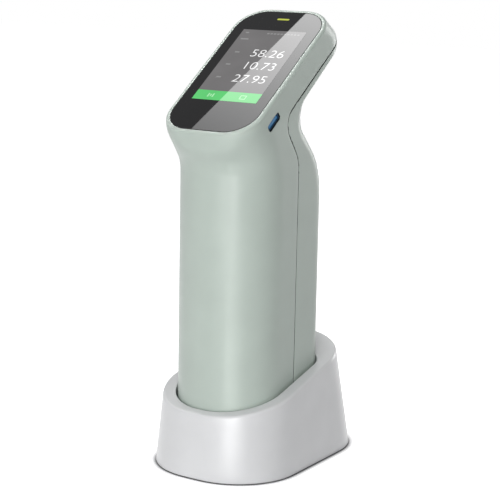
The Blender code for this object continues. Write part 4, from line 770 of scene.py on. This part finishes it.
SCREEN = HEAD @ Matrix.Translation((0.0, DISPLAY_UP, 0.0))
SCREEN_WIDTH = 0.036
SCREEN_LENGTH = 0.054
LAYER = 0.00002
LAYER_CORNER = 0.0001
CHARACTER_STRETCH = 1.075
CHARACTER_THINNING = 0.012


def layer_of(outline, level):
    """Thin plate with an outline of flat points, the given number of layers above the glass."""
    return loft([lifted(outline, level * LAYER), lifted(outline, (level + 1) * LAYER)])


def bar(x, y, width, height, level, radius=LAYER_CORNER):
    """Thin plate with rounded corners round a centre on the screen."""
    outline = plan_ring(width / 2, -height / 2, height / 2, min(radius, width * 0.499),
                        min(radius, height * 0.499), SCREEN_STEPS)
    return layer_of([(x + across, y + along) for across, along in outline], level)


def gathered(parts):
    """Put several meshes together in one."""
    whole = bmesh.new()
    for part in parts:
        data = bpy.data.meshes.new("part")
        part.to_mesh(data)
        part.free()
        whole.from_mesh(data)
        bpy.data.meshes.remove(data)
    return whole


def written(text, right, foot, height, level):
    """Thin characters as solids, their right foot at a place on the screen."""
    curve = bpy.data.curves.new("characters", "FONT")
    curve.body = text
    curve.extrude = LAYER / 2
    curve.resolution_u = 6
    curve.offset = -CHARACTER_THINNING
    holder = bpy.data.objects.new("characters", curve)
    bpy.context.scene.collection.objects.link(holder)
    graph = bpy.context.evaluated_depsgraph_get()
    data = bpy.data.meshes.new_from_object(holder.evaluated_get(graph))
    mesh = bmesh.new()
    mesh.from_mesh(data)
    bpy.data.objects.remove(holder)
    bpy.data.curves.remove(curve)
    bpy.data.meshes.remove(data)
    bottom = min(vertex.co.y for vertex in mesh.verts)
    top = max(vertex.co.y for vertex in mesh.verts)
    end = max(vertex.co.x for vertex in mesh.verts)
    scale = height / (top - bottom)
    for vertex in mesh.verts:
        level_share = 0.5 + math.copysign(0.5, vertex.co.z)
        vertex.co = Vector(((vertex.co.x - end) * scale * CHARACTER_STRETCH + right,
                            (vertex.co.y - bottom) * scale + foot, (level + level_share) * LAYER))
    return mesh


def lit(name, colour):
    """Glowing layer under the same gloss as the glass, a little uneven as a backlight is."""
    made = surface(name, (0.004, 0.004, 0.004), 0.01, Specular_IOR_Level=GLASS_SPECULAR, Emission_Strength=1.0)
    darker = [value * 0.94 for value in colour]
    brighter = [value * 1.06 for value in colour]
    return glossy_glass(tinted(made, 70.0, darker, brighter, "Emission Color"))


def on_screen(name, parts, glow):
    mesh = gathered(parts)
    bmesh.ops.transform(mesh, matrix=SCREEN, verts=mesh.verts)
    finished(name, mesh, lit(name, glow), "instrument", ())


FIELD_LEVEL, SIGN_LEVEL = 1, 2
KEY_BAR_HEIGHT = 0.0068
KEY_BAR_MIDDLE = (KEY_BAR_HEIGHT - SCREEN_LENGTH) / 2
FIELD_HEIGHT = SCREEN_LENGTH - KEY_BAR_HEIGHT
on_screen("screen_field", [bar(0.0, KEY_BAR_HEIGHT / 2, SCREEN_WIDTH, FIELD_HEIGHT, FIELD_LEVEL)],
          (0.156, 0.151, 0.153))
on_screen("screen_key_bar", [bar(0.0, KEY_BAR_MIDDLE, SCREEN_WIDTH, KEY_BAR_HEIGHT, FIELD_LEVEL)],
          (0.105, 0.61, 0.165))

# Three readings with a short dash before each, and above them a title dash and a row of small marks
READINGS = (("58.26", 0.0092), ("10.73", -0.0003), ("27.95", -0.0101))
READING_HEIGHT = 0.0054
READING_RIGHT = 0.0144
DASH_X = -0.0122
DASH_WIDTH = 0.0026
DASH_HEIGHT = 0.0009
TITLE_X, TITLE_Y, TITLE_WIDTH = -0.0136, 0.0195, 0.0045
TOP_ROW_Y = 0.0245
TOP_DASH_X, TOP_DASH_WIDTH = -0.0146, 0.0018
TOP_MARKS = 10
TOP_MARK_START, TOP_MARK_STEP = -0.0025, 0.0019
TOP_MARK_WIDTH, TOP_MARK_HEIGHT = 0.0013, 0.0010
marks = [bar(DASH_X, y, DASH_WIDTH, DASH_HEIGHT, SIGN_LEVEL) for reading, y in READINGS]
marks.append(bar(TITLE_X, TITLE_Y, TITLE_WIDTH, DASH_HEIGHT, SIGN_LEVEL))
marks.append(bar(TOP_DASH_X, TOP_ROW_Y, TOP_DASH_WIDTH, DASH_HEIGHT, SIGN_LEVEL))
marks += [bar(TOP_MARK_START + TOP_MARK_STEP * step, TOP_ROW_Y, TOP_MARK_WIDTH, TOP_MARK_HEIGHT, SIGN_LEVEL)
          for step in range(TOP_MARKS)]
readings = [written(reading, READING_RIGHT, y - READING_HEIGHT / 2, READING_HEIGHT, SIGN_LEVEL)
            for reading, y in READINGS]
on_screen("screen_readings", readings, (0.95, 0.95, 0.95))
on_screen("screen_marks", marks, (0.27, 0.27, 0.27))

# Signs in the key bar, each bar of a sign given by its centre from the sign's middle, its width and its height
SIGN_LINE = 0.0005
BOX_SIGN = ((0.0, 0.0012, 0.0034, SIGN_LINE), (0.0, -0.0012, 0.0034, SIGN_LINE),
            (-0.00145, 0.0, SIGN_LINE, 0.0024), (0.00145, 0.0, SIGN_LINE, 0.0024))
BARS_SIGN = ((-0.0013, 0.0, 0.0007, 0.0026), (0.0, 0.0, 0.0007, 0.0016), (0.0013, 0.0, 0.0007, 0.0026))
signs = [bar(middle + x, KEY_BAR_MIDDLE + y, width, height, SIGN_LEVEL)
         for middle, sign in ((-SCREEN_WIDTH / 4, BARS_SIGN), (SCREEN_WIDTH / 4, BOX_SIGN))
         for x, y, width, height in sign]
on_screen("screen_key_signs", signs, (0.42, 0.86, 0.46))

STATUS_LIGHT_UP = 0.0392
STATUS_LIGHT_LENGTH = 0.0068
STATUS_LIGHT_HEIGHT = 0.0012
status_light = bar(0.0, STATUS_LIGHT_UP - DISPLAY_UP, STATUS_LIGHT_LENGTH, STATUS_LIGHT_HEIGHT, FIELD_LEVEL,
                   STATUS_LIGHT_HEIGHT / 2)
on_screen("status_light_glow", [status_light], (0.52, 0.57, 0.07))


# Socket and keys

def slot_ring(length, width, height, radius=None):
    """Ring long along its first axis, round-ended unless a corner radius is given."""
    radius = radius or width / 2
    ring = plan_ring(width / 2, -length / 2, length / 2, radius, radius, SLOT_STEPS)
    return [Vector((y, -x, height)) for x, y in ring]


SIDE_MOUTH = SIDE_REACH - 0.0006
WORLD_SIDE = INSTRUMENT @ SIDE_PLACE


def socket_shell():
    """Sheet tube, open at the front, that widens to a lip at its mouth."""
    back = SIDE_MOUTH - SOCKET_REACH
    inner_length, inner_height = LIP_LENGTH - 0.001, SOCKET_HEIGHT - 2 * SOCKET_SHEET
    lip = SIDE_MOUTH - 0.0004
    rings = [slot_ring(SOCKET_LENGTH, SOCKET_HEIGHT, back),
             slot_ring(SOCKET_LENGTH, SOCKET_HEIGHT, lip - 0.001),
             slot_ring(LIP_LENGTH, LIP_HEIGHT, lip, LIP_CORNER),
             slot_ring(LIP_LENGTH, LIP_HEIGHT, SIDE_MOUTH, LIP_CORNER),
             slot_ring(inner_length, inner_height, SIDE_MOUTH, 0.0007),
             slot_ring(inner_length, inner_height, lip - 0.0004, 0.0007),
             slot_ring(SOCKET_LENGTH - 2 * SOCKET_SHEET, inner_height, lip - 0.0012),
             slot_ring(SOCKET_LENGTH - 2 * SOCKET_SHEET, inner_height, back + SOCKET_SHEET)]
    return lofted(rings, [0.0, 0.0, 0.0001, 0.00012, 0.00012, 0.0, 0.0, 0.0], [0, 0, 2, 3, 3, 0, 0, 0],
                  [1, 1, 1, 1, 1, 1, 3], WORLD_SIDE)


TONGUE_LENGTH = 0.0082
TONGUE_HEIGHT = 0.0018
TONGUE_CORNER = 0.0004


def socket_tongue():
    foot, front = SIDE_MOUTH - SOCKET_REACH + SOCKET_SHEET + GAP, SIDE_MOUTH - 0.0002
    rings = []
    for height, inset in ((foot, 0.0), (front, 0.0), (front, 0.00015)):
        rings.append(slot_ring(TONGUE_LENGTH - 2 * inset, TONGUE_HEIGHT - 2 * inset, height, TONGUE_CORNER))
    return lofted(rings, [0.0, 0.0001, 0.0], [0, 3, 0], [1, 1], WORLD_SIDE)


finished("socket_shell", socket_shell(), NAVY, "instrument", ("usb_port_shell",))
finished("socket_tongue", socket_tongue(), BLUE, "instrument", ("usb_port_tongue",))


KEY_FLANGE = 0.0012
KEY_FLANGE_THICKNESS = 0.001


def key(length, width, face, flange_face, edge, crown, place):
    """Pressed key: flange behind the wall, cap with rounded edge and a slightly crowned face."""
    flange = (length + 2 * KEY_FLANGE, width + 2 * KEY_FLANGE)
    rings = [slot_ring(*flange, flange_face - KEY_FLANGE_THICKNESS), slot_ring(*flange, flange_face),
             slot_ring(length, width, flange_face), slot_ring(length, width, face - crown),
             slot_ring(length - width * 0.5, width * 0.5, face - crown * 0.1),
             slot_ring(length - width * 0.96, width * 0.04, face)]
    return lofted(rings, [0.0, 0.0002, 0.0001, edge, width * 0.2, 0.0], [0, 2, 1, 6, 4, 0], [1, 1, 2, 3, 2],
                  place)


POWER_KEY_PROUD = 0.0005
POWER_FLANGE_BEHIND_WALL = 0.0014
BUTTON_PROUD = 0.0008
finished("power_key", key(POWER_KEY_LENGTH, POWER_KEY_WIDTH, SIDE_REACH + POWER_KEY_PROUD,
                          SIDE_REACH - WALL - POWER_FLANGE_BEHIND_WALL, 0.0004, 0.00012,
                          WORLD_SIDE @ LEFT_FACING),
         SAGE, "power_key", ("power_button",))
finished("measure_key", key(BUTTON_LENGTH, BUTTON_WIDTH, HANDLE_WIDTH / 2 + BUTTON_PROUD,
                            HANDLE_WIDTH / 2 - WALL - GAP, 0.0005, 0.00025,
                            INSTRUMENT @ BUTTON_PLACE @ LEFT_FACING @ QUARTER_TURN),
         SAGE, "measure_key", ("measure_button",))


# Screws, each lofted along its own axis, with a six-sided recess in the head

def circle_ring(radius, height):
    angles = [math.tau * step / ROUND_POINTS for step in range(ROUND_POINTS)]
    return [Vector((radius * math.cos(angle), radius * math.sin(angle), height)) for angle in angles]


def hex_ring(radius, height):
    """Six-sided ring with its corners on a radius."""
    ring = []
    for step in range(ROUND_POINTS):
        angle = math.tau * step / ROUND_POINTS
        reach = radius * math.cos(math.pi / 6) / math.cos(angle % (math.pi / 3) - math.pi / 6)
        ring.append(Vector((reach * math.cos(angle), reach * math.sin(angle), height)))
    return ring


HEX_CHAMFER = 0.00012
SHANK_CHAMFER = 0.0004


def screw(place, floor, head_height, grip):
    """Cap screw along its place's third axis: its head sits over the floor, and its shank ends at the grip."""
    seat = floor + GAP
    top = seat + head_height
    recess = top - head_height * 0.6
    rings = [circle_ring(SCREW_SHANK_RADIUS * 0.7, -grip),
             circle_ring(SCREW_SHANK_RADIUS, SHANK_CHAMFER - grip),
             circle_ring(SCREW_SHANK_RADIUS, seat), circle_ring(SCREW_HEAD_RADIUS, seat),
             circle_ring(SCREW_HEAD_RADIUS, top), circle_ring(HEX_RADIUS + HEX_CHAMFER, top),
             hex_ring(HEX_RADIUS, top - HEX_CHAMFER), hex_ring(HEX_RADIUS, recess),
             circle_ring(0.0003, recess - 0.0001)]
    return lofted(rings, [0.0, 0.0, 0.0, 0.0001, 0.0003, 0.00005, 0.0, 0.0, 0.0], [0, 0, 0, 2, 5, 1, 0, 0, 0],
                  [1, 6, 1, 1, 2, 1, 2, 1], place)


CASE_SCREW_GRIP = 0.0075
HANDLE_SCREW_HEAD = 0.0016
HEAD_SCREW_HEAD = 0.0009
number = 0
for axis, spacing, floor, head_height in (
        (handle_screw_axis, HANDLE_POST_X, HANDLE_SCREW_FLOOR, HANDLE_SCREW_HEAD),
        (head_screw_axis, HEAD_POST_X, HEAD_SCREW_FLOOR, HEAD_SCREW_HEAD)):
    for x in (-spacing, spacing):
        number += 1
        finished(f"case_screw_{number}", screw(INSTRUMENT @ axis(x), floor, head_height, CASE_SCREW_GRIP),
                 STEEL, "instrument", (f"housing_screw_{number}",))


# Measuring end under the handle

APERTURE_RADIUS = 0.004
MASK_RADIUS = 0.012
MASK_COLLAR_RADIUS = 0.0087
MASK_TOP_RADIUS = 0.0065
MASK_PROUD = 0.0006
MASK_LEDGE = 0.0018
COVER_THICKNESS = 0.003


def target_mask():
    """Ring that touches the sample, its aperture widening upward inside a collar."""
    ledge = MASK_LEDGE - GAP
    corners = [Vector(pair) for pair in (
        (APERTURE_RADIUS, -MASK_PROUD), (MASK_RADIUS, -MASK_PROUD), (MASK_RADIUS, ledge),
        (MASK_COLLAR_RADIUS, ledge), (MASK_COLLAR_RADIUS, COVER_THICKNESS), (MASK_TOP_RADIUS, COVER_THICKNESS),
        (APERTURE_RADIUS, -MASK_PROUD))]
    profile = softened(corners, [0.0, 0.0003, 0.0001, 0.0, 0.0002, 0.0002, 0.0], [0, 4, 2, 0, 2, 2, 0],
                       [2, 1, 1, 1, 1, 2])
    return spun([(point.x, point.y) for point in profile[:-1]], 72, INSTRUMENT)


finished("aperture_mask", target_mask(), BLACK_METAL, "instrument", ("target_mask",))


def bottom_cover():
    """Cap over the handle's lower end, with a stepped seat for the mask."""
    half_width, half_depth = HANDLE_WIDTH / 2 - WALL - GAP, HANDLE_DEPTH / 2 - WALL - GAP
    outline = plan_ring(half_width, -half_depth, half_depth, HANDLE_FRONT_RADIUS - WALL - GAP,
                        HANDLE_REAR_RADIUS - WALL - GAP, COVER_STEPS)
    seat = MASK_RADIUS + GAP
    bore = MASK_COLLAR_RADIUS + GAP

    def hole(radius, height):
        return [Vector((*(Vector(point).normalized() * radius), height)) for point in outline]

    rings = [hole(seat, 0.0), lifted(outline, 0.0), lifted(outline, COVER_THICKNESS),
             hole(bore, COVER_THICKNESS), hole(bore, MASK_LEDGE), hole(seat, MASK_LEDGE), hole(seat, 0.0)]
    return lofted(rings, [0.0, 0.0003, 0.0002, 0.0001, 0.0, 0.0, 0.0], [0, 3, 2, 1, 0, 0, 0],
                  [2, 1, 2, 1, 1, 1], INSTRUMENT, closed=True)


finished("bottom_cover", bottom_cover(), BLACK_PLASTIC, "instrument", ("bottom_cap",))


# Calibration base

BASE_WIDTH = 0.0738
BASE_LENGTH = 0.1114
SIDE_DRAFT = 0.0558
FRONT_DRAFT = 0.0966
REAR_DRAFT = 0.2256
BASE_FRONT_RADIUS = 0.0322
BASE_REAR_RADIUS = 0.0328
CORNER_DRAFT_SHARE = 0.3
BASE_WALL = 0.0022
BASE_FOOT = 0.0002
BASE_FOOT_ROUND = 0.0006
RIM_OUTER_ROUND = 0.0016
RIM_INNER_ROUND = 0.0006
RIM_MIDDLE = 0.0447
RIM_SLOPE = 0.25
POCKET_CLEARANCE = 0.00095
POCKET_WALL = 0.0018
POCKET_FLOOR = INSTRUMENT_HEIGHT - GAP
TILE_HOLE_RADIUS = 0.017


def base_outline(height, inset):
    """The base's plan at a height, moved inward by an inset."""
    drawn_in = height * SIDE_DRAFT
    shrink = CORNER_DRAFT_SHARE * drawn_in + inset
    return plan_ring(BASE_WIDTH / 2 - drawn_in - inset, height * FRONT_DRAFT + inset - BASE_LENGTH / 2,
                     BASE_LENGTH / 2 - height * REAR_DRAFT - inset, BASE_FRONT_RADIUS - shrink,
                     BASE_REAR_RADIUS - shrink, BASE_STEPS)


def rim_ring(inset, drop):
    """Where the drafted side meets the sloping rim plane, or a plane a little below it."""
    ring = []
    for low, high in zip(base_outline(0.0, inset), base_outline(RIM_MIDDLE, inset)):
        run = (high[1] - low[1]) / RIM_MIDDLE
        height = (RIM_MIDDLE - drop + RIM_SLOPE * low[1]) / (1 - RIM_SLOPE * run)
        share = height / RIM_MIDDLE
        x, y = (start + (end - start) * share for start, end in zip(low, high))
        ring.append(Vector((x, y, height)))
    return ring


def pocket_outline(growth):
    return plan_ring(HANDLE_WIDTH / 2 + growth, -HANDLE_DEPTH / 2 - HANDLE_SETBACK - growth,
                     HANDLE_DEPTH / 2 - HANDLE_SETBACK + growth, HANDLE_FRONT_RADIUS + growth,
                     HANDLE_REAR_RADIUS + growth, BASE_STEPS)


def on_rim(outline, drop):
    return [Vector((x, y, RIM_MIDDLE - drop + RIM_SLOPE * y)) for x, y in outline]


def round_hole(outline, radius, height):
    """Circle round the tile, with one point in the direction of each point of an outline."""
    ring = []
    for x, y in outline:
        away = Vector((x, y + HANDLE_SETBACK)).normalized() * radius
        ring.append(Vector((away.x, away.y - HANDLE_SETBACK, height)))
    return ring


def base_cup():
    """Closed skin: up the side, over the rim, down the pocket, through the tile hole and back inside."""
    pocket = pocket_outline(POCKET_CLEARANCE)
    wall = pocket_outline(POCKET_CLEARANCE + POCKET_WALL)
    under = POCKET_FLOOR - POCKET_WALL
    inner_foot = lifted(base_outline(BASE_FOOT, BASE_WALL), BASE_FOOT)
    rings = [inner_foot, lifted(base_outline(BASE_FOOT, 0.0), BASE_FOOT),
             rim_ring(0.0, 0.0), on_rim(pocket, 0.0), lifted(pocket, POCKET_FLOOR),
             round_hole(pocket, TILE_HOLE_RADIUS, POCKET_FLOOR), round_hole(pocket, TILE_HOLE_RADIUS, under),
             lifted(wall, under), on_rim(wall, BASE_WALL), rim_ring(BASE_WALL, BASE_WALL), inner_foot]
    rounds = [0.0, BASE_FOOT_ROUND, RIM_OUTER_ROUND, RIM_INNER_ROUND, 0.0008, 0.0003, 0.0, 0.0, 0.0, 0.0, 0.0]
    arcs = [0, 5, 8, 4, 4, 2, 0, 0, 0, 0, 0]
    legs = [1, 8, 2, 6, 1, 1, 1, 3, 1, 3]
    return lofted(rings, rounds, arcs, legs, closed=True)


finished("base_cup", base_cup(), SILVER, "base", ("base_shell",))


# White tile, its holder, feet and screws of the base

TILE_RADIUS = 0.015
TILE_TOP = INSTRUMENT_HEIGHT - 0.0006 - GAP
TILE_FOOT = TILE_TOP - 0.004
TILE_AXIS = Matrix.Translation((0.0, -HANDLE_SETBACK, 0.0))


def turned_piece(corners, rounds, place, steps=64, arc_steps=3):
    """Spin a path that starts and ends on the axis."""
    path = softened([Vector(corner) for corner in corners], rounds,
                    [arc_steps if size else 0 for size in rounds], [1] * (len(corners) - 1))
    return spun([(point.x, point.y) for point in path], steps, place)


HOLDER_WALL = 0.0014
HOLDER_FLANGE_REACH = 0.0045
HOLDER_FLANGE_THICKNESS = 0.0016


def tile_holder():
    """Cup under the tile, with a flange that lies under the pocket's floor."""
    foot = TILE_FOOT - GAP - HOLDER_WALL
    outer = TILE_RADIUS + GAP + HOLDER_WALL
    flange_top = POCKET_FLOOR - POCKET_WALL - GAP
    flange_foot = flange_top - HOLDER_FLANGE_THICKNESS
    flange = outer + HOLDER_FLANGE_REACH
    corners = [(0.0, foot), (outer, foot), (outer, flange_foot), (flange, flange_foot),
               (flange, flange_top), (outer, flange_top), (outer, TILE_TOP), (TILE_RADIUS + GAP, TILE_TOP),
               (TILE_RADIUS + GAP, TILE_FOOT - GAP), (0.0, TILE_FOOT - GAP)]
    return turned_piece(corners, [0.0, 0.0002, 0.0, 0.0002, 0.0002, 0.0, 0.0002, 0.0002, 0.0, 0.0], TILE_AXIS)


def white_tile():
    corners = [(0.0, TILE_FOOT), (TILE_RADIUS, TILE_FOOT), (TILE_RADIUS, TILE_TOP), (0.0, TILE_TOP)]
    return turned_piece(corners, [0.0, 0.0002, 0.0004, 0.0], TILE_AXIS, 72, 4)


finished("tile_cup", tile_holder(), BLACK_PLASTIC, "base", ("tile_holder",))
finished("white_tile", white_tile(), CERAMIC, "base", ("calibration_tile",))

FOOT_RADIUS = 0.0055
FOOT_HEIGHT = 0.0016
FOOT_INSET = 0.0095
FOOT_HOLLOW = 0.0002
number = 0
for radius, end in ((BASE_FRONT_RADIUS, -1), (BASE_REAR_RADIUS, 1)):
    for side in (-1, 1):
        number += 1
        inset = (radius - FOOT_INSET) * math.cos(math.pi / 4)
        place = Matrix.Translation((side * (BASE_WIDTH / 2 - radius + inset),
                                    end * (BASE_LENGTH / 2 - radius + inset), 0.0))
        corners = [(0.0, FOOT_HOLLOW), (0.0028, FOOT_HOLLOW), (0.0034, 0.0), (FOOT_RADIUS, 0.0),
                   (FOOT_RADIUS, FOOT_HEIGHT), (0.0, FOOT_HEIGHT)]
        pad = turned_piece(corners, [0.0, 0.0002, 0.0002, 0.0005, 0.0002, 0.0], place, ROUND_POINTS, 4)
        finished(f"foot_pad_{number}", pad, RUBBER, "base", (f"rubber_foot_{number}",))

PLATE_TOP = 0.004
BASE_POST_RADIUS = 0.0032
FRONT_POST_X, FRONT_POST_Y = 0.024, -HANDLE_SETBACK - 0.0082
REAR_POST_X = 0.015
REAR_POST_Y = HANDLE_DEPTH / 2 - HANDLE_SETBACK + POCKET_CLEARANCE + POCKET_WALL + BASE_POST_RADIUS * 0.75
number = 0
for x, y in ((FRONT_POST_X, FRONT_POST_Y), (REAR_POST_X, REAR_POST_Y)):
    for side in (-1, 1):
        number += 1
        place = Matrix.Translation((side * x, y, PLATE_TOP)) @ UPSIDE_DOWN
        finished(f"plate_screw_{number}", screw(place, 0.0014, 0.0012, 0.007), STEEL, "base",
                 (f"base_screw_{number}",))


# Floor, light and camera

def stage_plane(name, size, place, finish):
    mesh = bmesh.new()
    bmesh.ops.create_grid(mesh, x_segments=1, y_segments=1, size=0.5)
    bmesh.ops.transform(mesh, matrix=place @ Matrix.Diagonal((size[0], size[1], 1.0, 1.0)), verts=mesh.verts)
    data = bpy.data.meshes.new(name)
    mesh.to_mesh(data)
    mesh.free()
    data.materials.append(finish)
    thing = bpy.data.objects.new(name, data)
    bpy.context.scene.collection.objects.link(thing)


def bare_material(name):
    """Material with an output and nothing else."""
    made = bpy.data.materials.new(name)
    made.use_nodes = True
    made.node_tree.nodes.clear()
    return made, made.node_tree, made.node_tree.nodes.new("ShaderNodeOutputMaterial")


def diffuse(tree, colour):
    shader = tree.nodes.new("ShaderNodeBsdfDiffuse")
    shader.inputs["Color"].default_value = (*colour, 1.0)
    return shader.outputs["BSDF"]


def blended(tree, share, first, second):
    """Two shaders mixed by a share from zero for the first to one for the second."""
    blend = tree.nodes.new("ShaderNodeMixShader")
    for source, socket in zip((share, first, second), blend.inputs):
        tree.links.new(source, socket)
    return blend.outputs["Shader"]


def worked_out(tree, operation, first, second):
    """Maths on two outputs, or on an output and a number."""
    step = tree.nodes.new("ShaderNodeMath")
    step.operation = operation
    tree.links.new(first, step.inputs[0])
    if isinstance(second, float):
        step.inputs[1].default_value = second
    else:
        tree.links.new(second, step.inputs[1])
    return step.outputs["Value"]


def seen_directly(tree, mirrored=1.0):
    """One for rays from the camera, a share for mirror rays and rays through glass, zero for soft light."""
    path = tree.nodes.new("ShaderNodeLightPath")
    bent = worked_out(tree, "MAXIMUM", path.outputs["Is Glossy Ray"], path.outputs["Is Transmission Ray"])
    share = worked_out(tree, "MULTIPLY", bent, mirrored)
    return worked_out(tree, "MAXIMUM", path.outputs["Is Camera Ray"], share)


PAINTED_SHADE_REACH = 0.005
FLOOR_MIRRORED = 0.85

# Openness of the floor from and to, and the shares of glow and of plain floor that it gives; both fall as
# painted shade near the base
GLOW_FADE = (0.56, 1.0, 0.0, 0.97)
PAINTED_SHADE_FADE = (0.48, 0.72, 0.15, 1.0)


def floor_surface():
    """Matte floor that glows white where it is seen directly, and darkens with painted shade, set by its
    openness, in the gap under the base's edge.
    """
    made, tree, out = bare_material("pale_floor")
    close = tree.nodes.new("ShaderNodeAmbientOcclusion")
    close.inputs["Distance"].default_value = PAINTED_SHADE_REACH
    glow = tree.nodes.new("ShaderNodeEmission")
    strength = worked_out(tree, "MULTIPLY", seen_directly(tree, FLOOR_MIRRORED),
                          ranged(tree, close.outputs["AO"], *GLOW_FADE))
    tree.links.new(strength, glow.inputs["Strength"])
    both = tree.nodes.new("ShaderNodeAddShader")
    tree.links.new(diffuse(tree, (0.85, 0.85, 0.86)), both.inputs[0])
    tree.links.new(glow.outputs["Emission"], both.inputs[1])
    # Painted contact shade: a near-black matte mixed in where the floor is least open, under the base's edge
    painted_contact_shade = blended(tree, ranged(tree, close.outputs["AO"], *PAINTED_SHADE_FADE),
                      diffuse(tree, (0.04, 0.04, 0.042)), both.outputs["Shader"])
    tree.links.new(painted_contact_shade, out.inputs["Surface"])
    return made


FLOOR_SIZE = 6.0
stage_plane("floor", (FLOOR_SIZE, FLOOR_SIZE), Matrix(), floor_surface())


def reflector_surface(name, along, low, high, dim, bright, upward=None):
    """Lit card that only mirror rays see, its light running from dim to bright along it, and upward."""
    made, tree, out = bare_material(name)
    path = tree.nodes.new("ShaderNodeLightPath")
    place = tree.nodes.new("ShaderNodeTexCoord")
    glow = tree.nodes.new("ShaderNodeEmission")
    clear = tree.nodes.new("ShaderNodeBsdfTransparent")

    def running(direction, *limits):
        reach = tree.nodes.new("ShaderNodeVectorMath")
        reach.operation = "DOT_PRODUCT"
        reach.inputs[1].default_value = direction
        tree.links.new(place.outputs["Object"], reach.inputs[0])
        return ranged(tree, reach.outputs["Value"], *limits)

    strength = running(along, low, high, dim, bright)
    if upward:
        strength = worked_out(tree, "MULTIPLY", strength, running((0.0, 0.0, 1.0), *upward))
    tree.links.new(strength, glow.inputs["Strength"])
    card = blended(tree, path.outputs["Is Glossy Ray"], clear.outputs["BSDF"], glow.outputs["Emission"])
    tree.links.new(card, out.inputs["Surface"])
    return made


# The card's straight edge crosses the glass in the mirror image from the top right to the lower left
CARD_FOOT = Vector((-0.41765, 0.07640, 0.75182))
CARD_EDGE = Vector((0.55174, 0.82075, 0.14818))
CARD_ACROSS = Vector((0.63574, -0.52888, 0.56224))
CARD_LENGTH = 0.24
CARD_WIDTH = 0.2
CARD_MIDDLE_ALONG = 0.08
CARD_BRIGHTENING = 0.147
card_middle = CARD_FOOT + CARD_EDGE * CARD_MIDDLE_ALONG + CARD_ACROSS * CARD_WIDTH / 2
card_place = Matrix((CARD_EDGE, CARD_ACROSS, CARD_EDGE.cross(CARD_ACROSS))).transposed().to_4x4()
card_start = CARD_FOOT.dot(CARD_EDGE)
stage_plane("reflector", (CARD_LENGTH, CARD_WIDTH), Matrix.Translation(card_middle) @ card_place,
            reflector_surface("upper_card_light", CARD_EDGE, card_start, card_start + CARD_BRIGHTENING,
                              7.2, 16.4))


def upright_card(name, bearing, reach, width, height, left, right, upward):
    """Card standing on the floor at a bearing, lit from its left strength to its right and fading upward."""
    turn = math.radians(bearing)
    outward = Vector((math.sin(turn), -math.cos(turn), 0.0))
    sideways = Vector((math.cos(turn), math.sin(turn), 0.0))
    place = Matrix((sideways, Vector((0.0, 0.0, 1.0)), outward)).transposed().to_4x4()
    middle = outward * reach + Vector((0.0, 0.0, height / 2 + 0.001))
    stage_plane(name, (width, height), Matrix.Translation(middle) @ place,
                reflector_surface(f"{name}_light", sideways, -width / 2, width / 2, left, right, upward))


# The highlight down the front corner of the handle and base
upright_card("front_corner_card", 24.5, 0.13, 0.062, 0.24, 6.1, 2.8, (0.0, 0.125, 1.15, 0.3))

world = bpy.data.worlds.new("studio")
bpy.context.scene.world = world
world.use_nodes = True
tree = world.node_tree
soft = tree.nodes["Background"]
soft.inputs["Color"].default_value = (0.97, 0.985, 1.0, 1.0)
soft.inputs["Strength"].default_value = 0.04
plain = tree.nodes.new("ShaderNodeBackground")
plain.inputs["Color"].default_value = (1.0, 1.0, 1.0, 1.0)
plain.inputs["Strength"].default_value = 1.0
sky = blended(tree, seen_directly(tree), soft.outputs["Background"], plain.outputs["Background"])
tree.links.new(sky, tree.nodes["World Output"].inputs["Surface"])

OBJECT_MIDDLE = Vector((0.0, 0.0, 0.11))


def heading(azimuth, elevation):
    """Direction at a bearing from the front, counted toward +X, and an elevation, both in radians."""
    return Vector((math.sin(azimuth) * math.cos(elevation), -math.cos(azimuth) * math.cos(elevation),
                   math.sin(elevation)))


def softbox(name, azimuth, elevation, size, power):
    """Area lamp a metre from the object's middle and facing it."""
    data = bpy.data.lights.new(name, "AREA")
    data.shape = "RECTANGLE"
    data.size, data.size_y = size
    data.energy = power
    lamp = bpy.data.objects.new(name, data)
    bpy.context.scene.collection.objects.link(lamp)
    outward = heading(math.radians(azimuth), math.radians(elevation))
    lamp.location = OBJECT_MIDDLE + outward
    lamp.rotation_euler = (-outward).to_track_quat("-Z", "Y").to_euler()


for name, azimuth, elevation, size, power in (
        ("front_right_strip", 24, 6, (0.2, 0.4), 3.5), ("front_strip", 3, 6, (0.35, 0.4), 2.0),
        ("upper_right_softbox", 30, 50, (1.0, 1.0), 2.2), ("upper_left_softbox", -30, 50, (1.0, 1.0), 1.1),
        ("left_softbox", -90, 35, (0.45, 0.6), 1.1), ("back_softbox", 165, 12, (0.35, 0.7), 2.55),
        ("back_left_softbox", 205, 12, (0.2, 0.7), 1.0), ("top_softbox", 0, 89, (0.6, 0.6), 1.5)):
    softbox(name, azimuth, elevation, size, power)

camera_data = bpy.data.cameras.new("camera")
camera_data.lens = 112.633
camera_data.sensor_width = 36.0
camera_data.clip_start = 0.05
camera = bpy.data.objects.new("camera", camera_data)
bpy.context.scene.collection.objects.link(camera)
turn = math.radians(32.62047)
lift = math.radians(11.10142)
tilt = math.radians(1.11633)
back = heading(turn, lift)
right = Vector((math.cos(turn), math.sin(turn), 0.0))
up = back.cross(right)
across = right * math.cos(tilt) + up * math.sin(tilt)
upward = up * math.cos(tilt) - right * math.sin(tilt)
camera.matrix_world = Matrix((across, upward, back)).transposed().to_4x4()
camera.location = (0.4050, -0.64065, 0.25138)
bpy.context.scene.camera = camera
bpy.context.scene.view_settings.view_transform = "Standard"
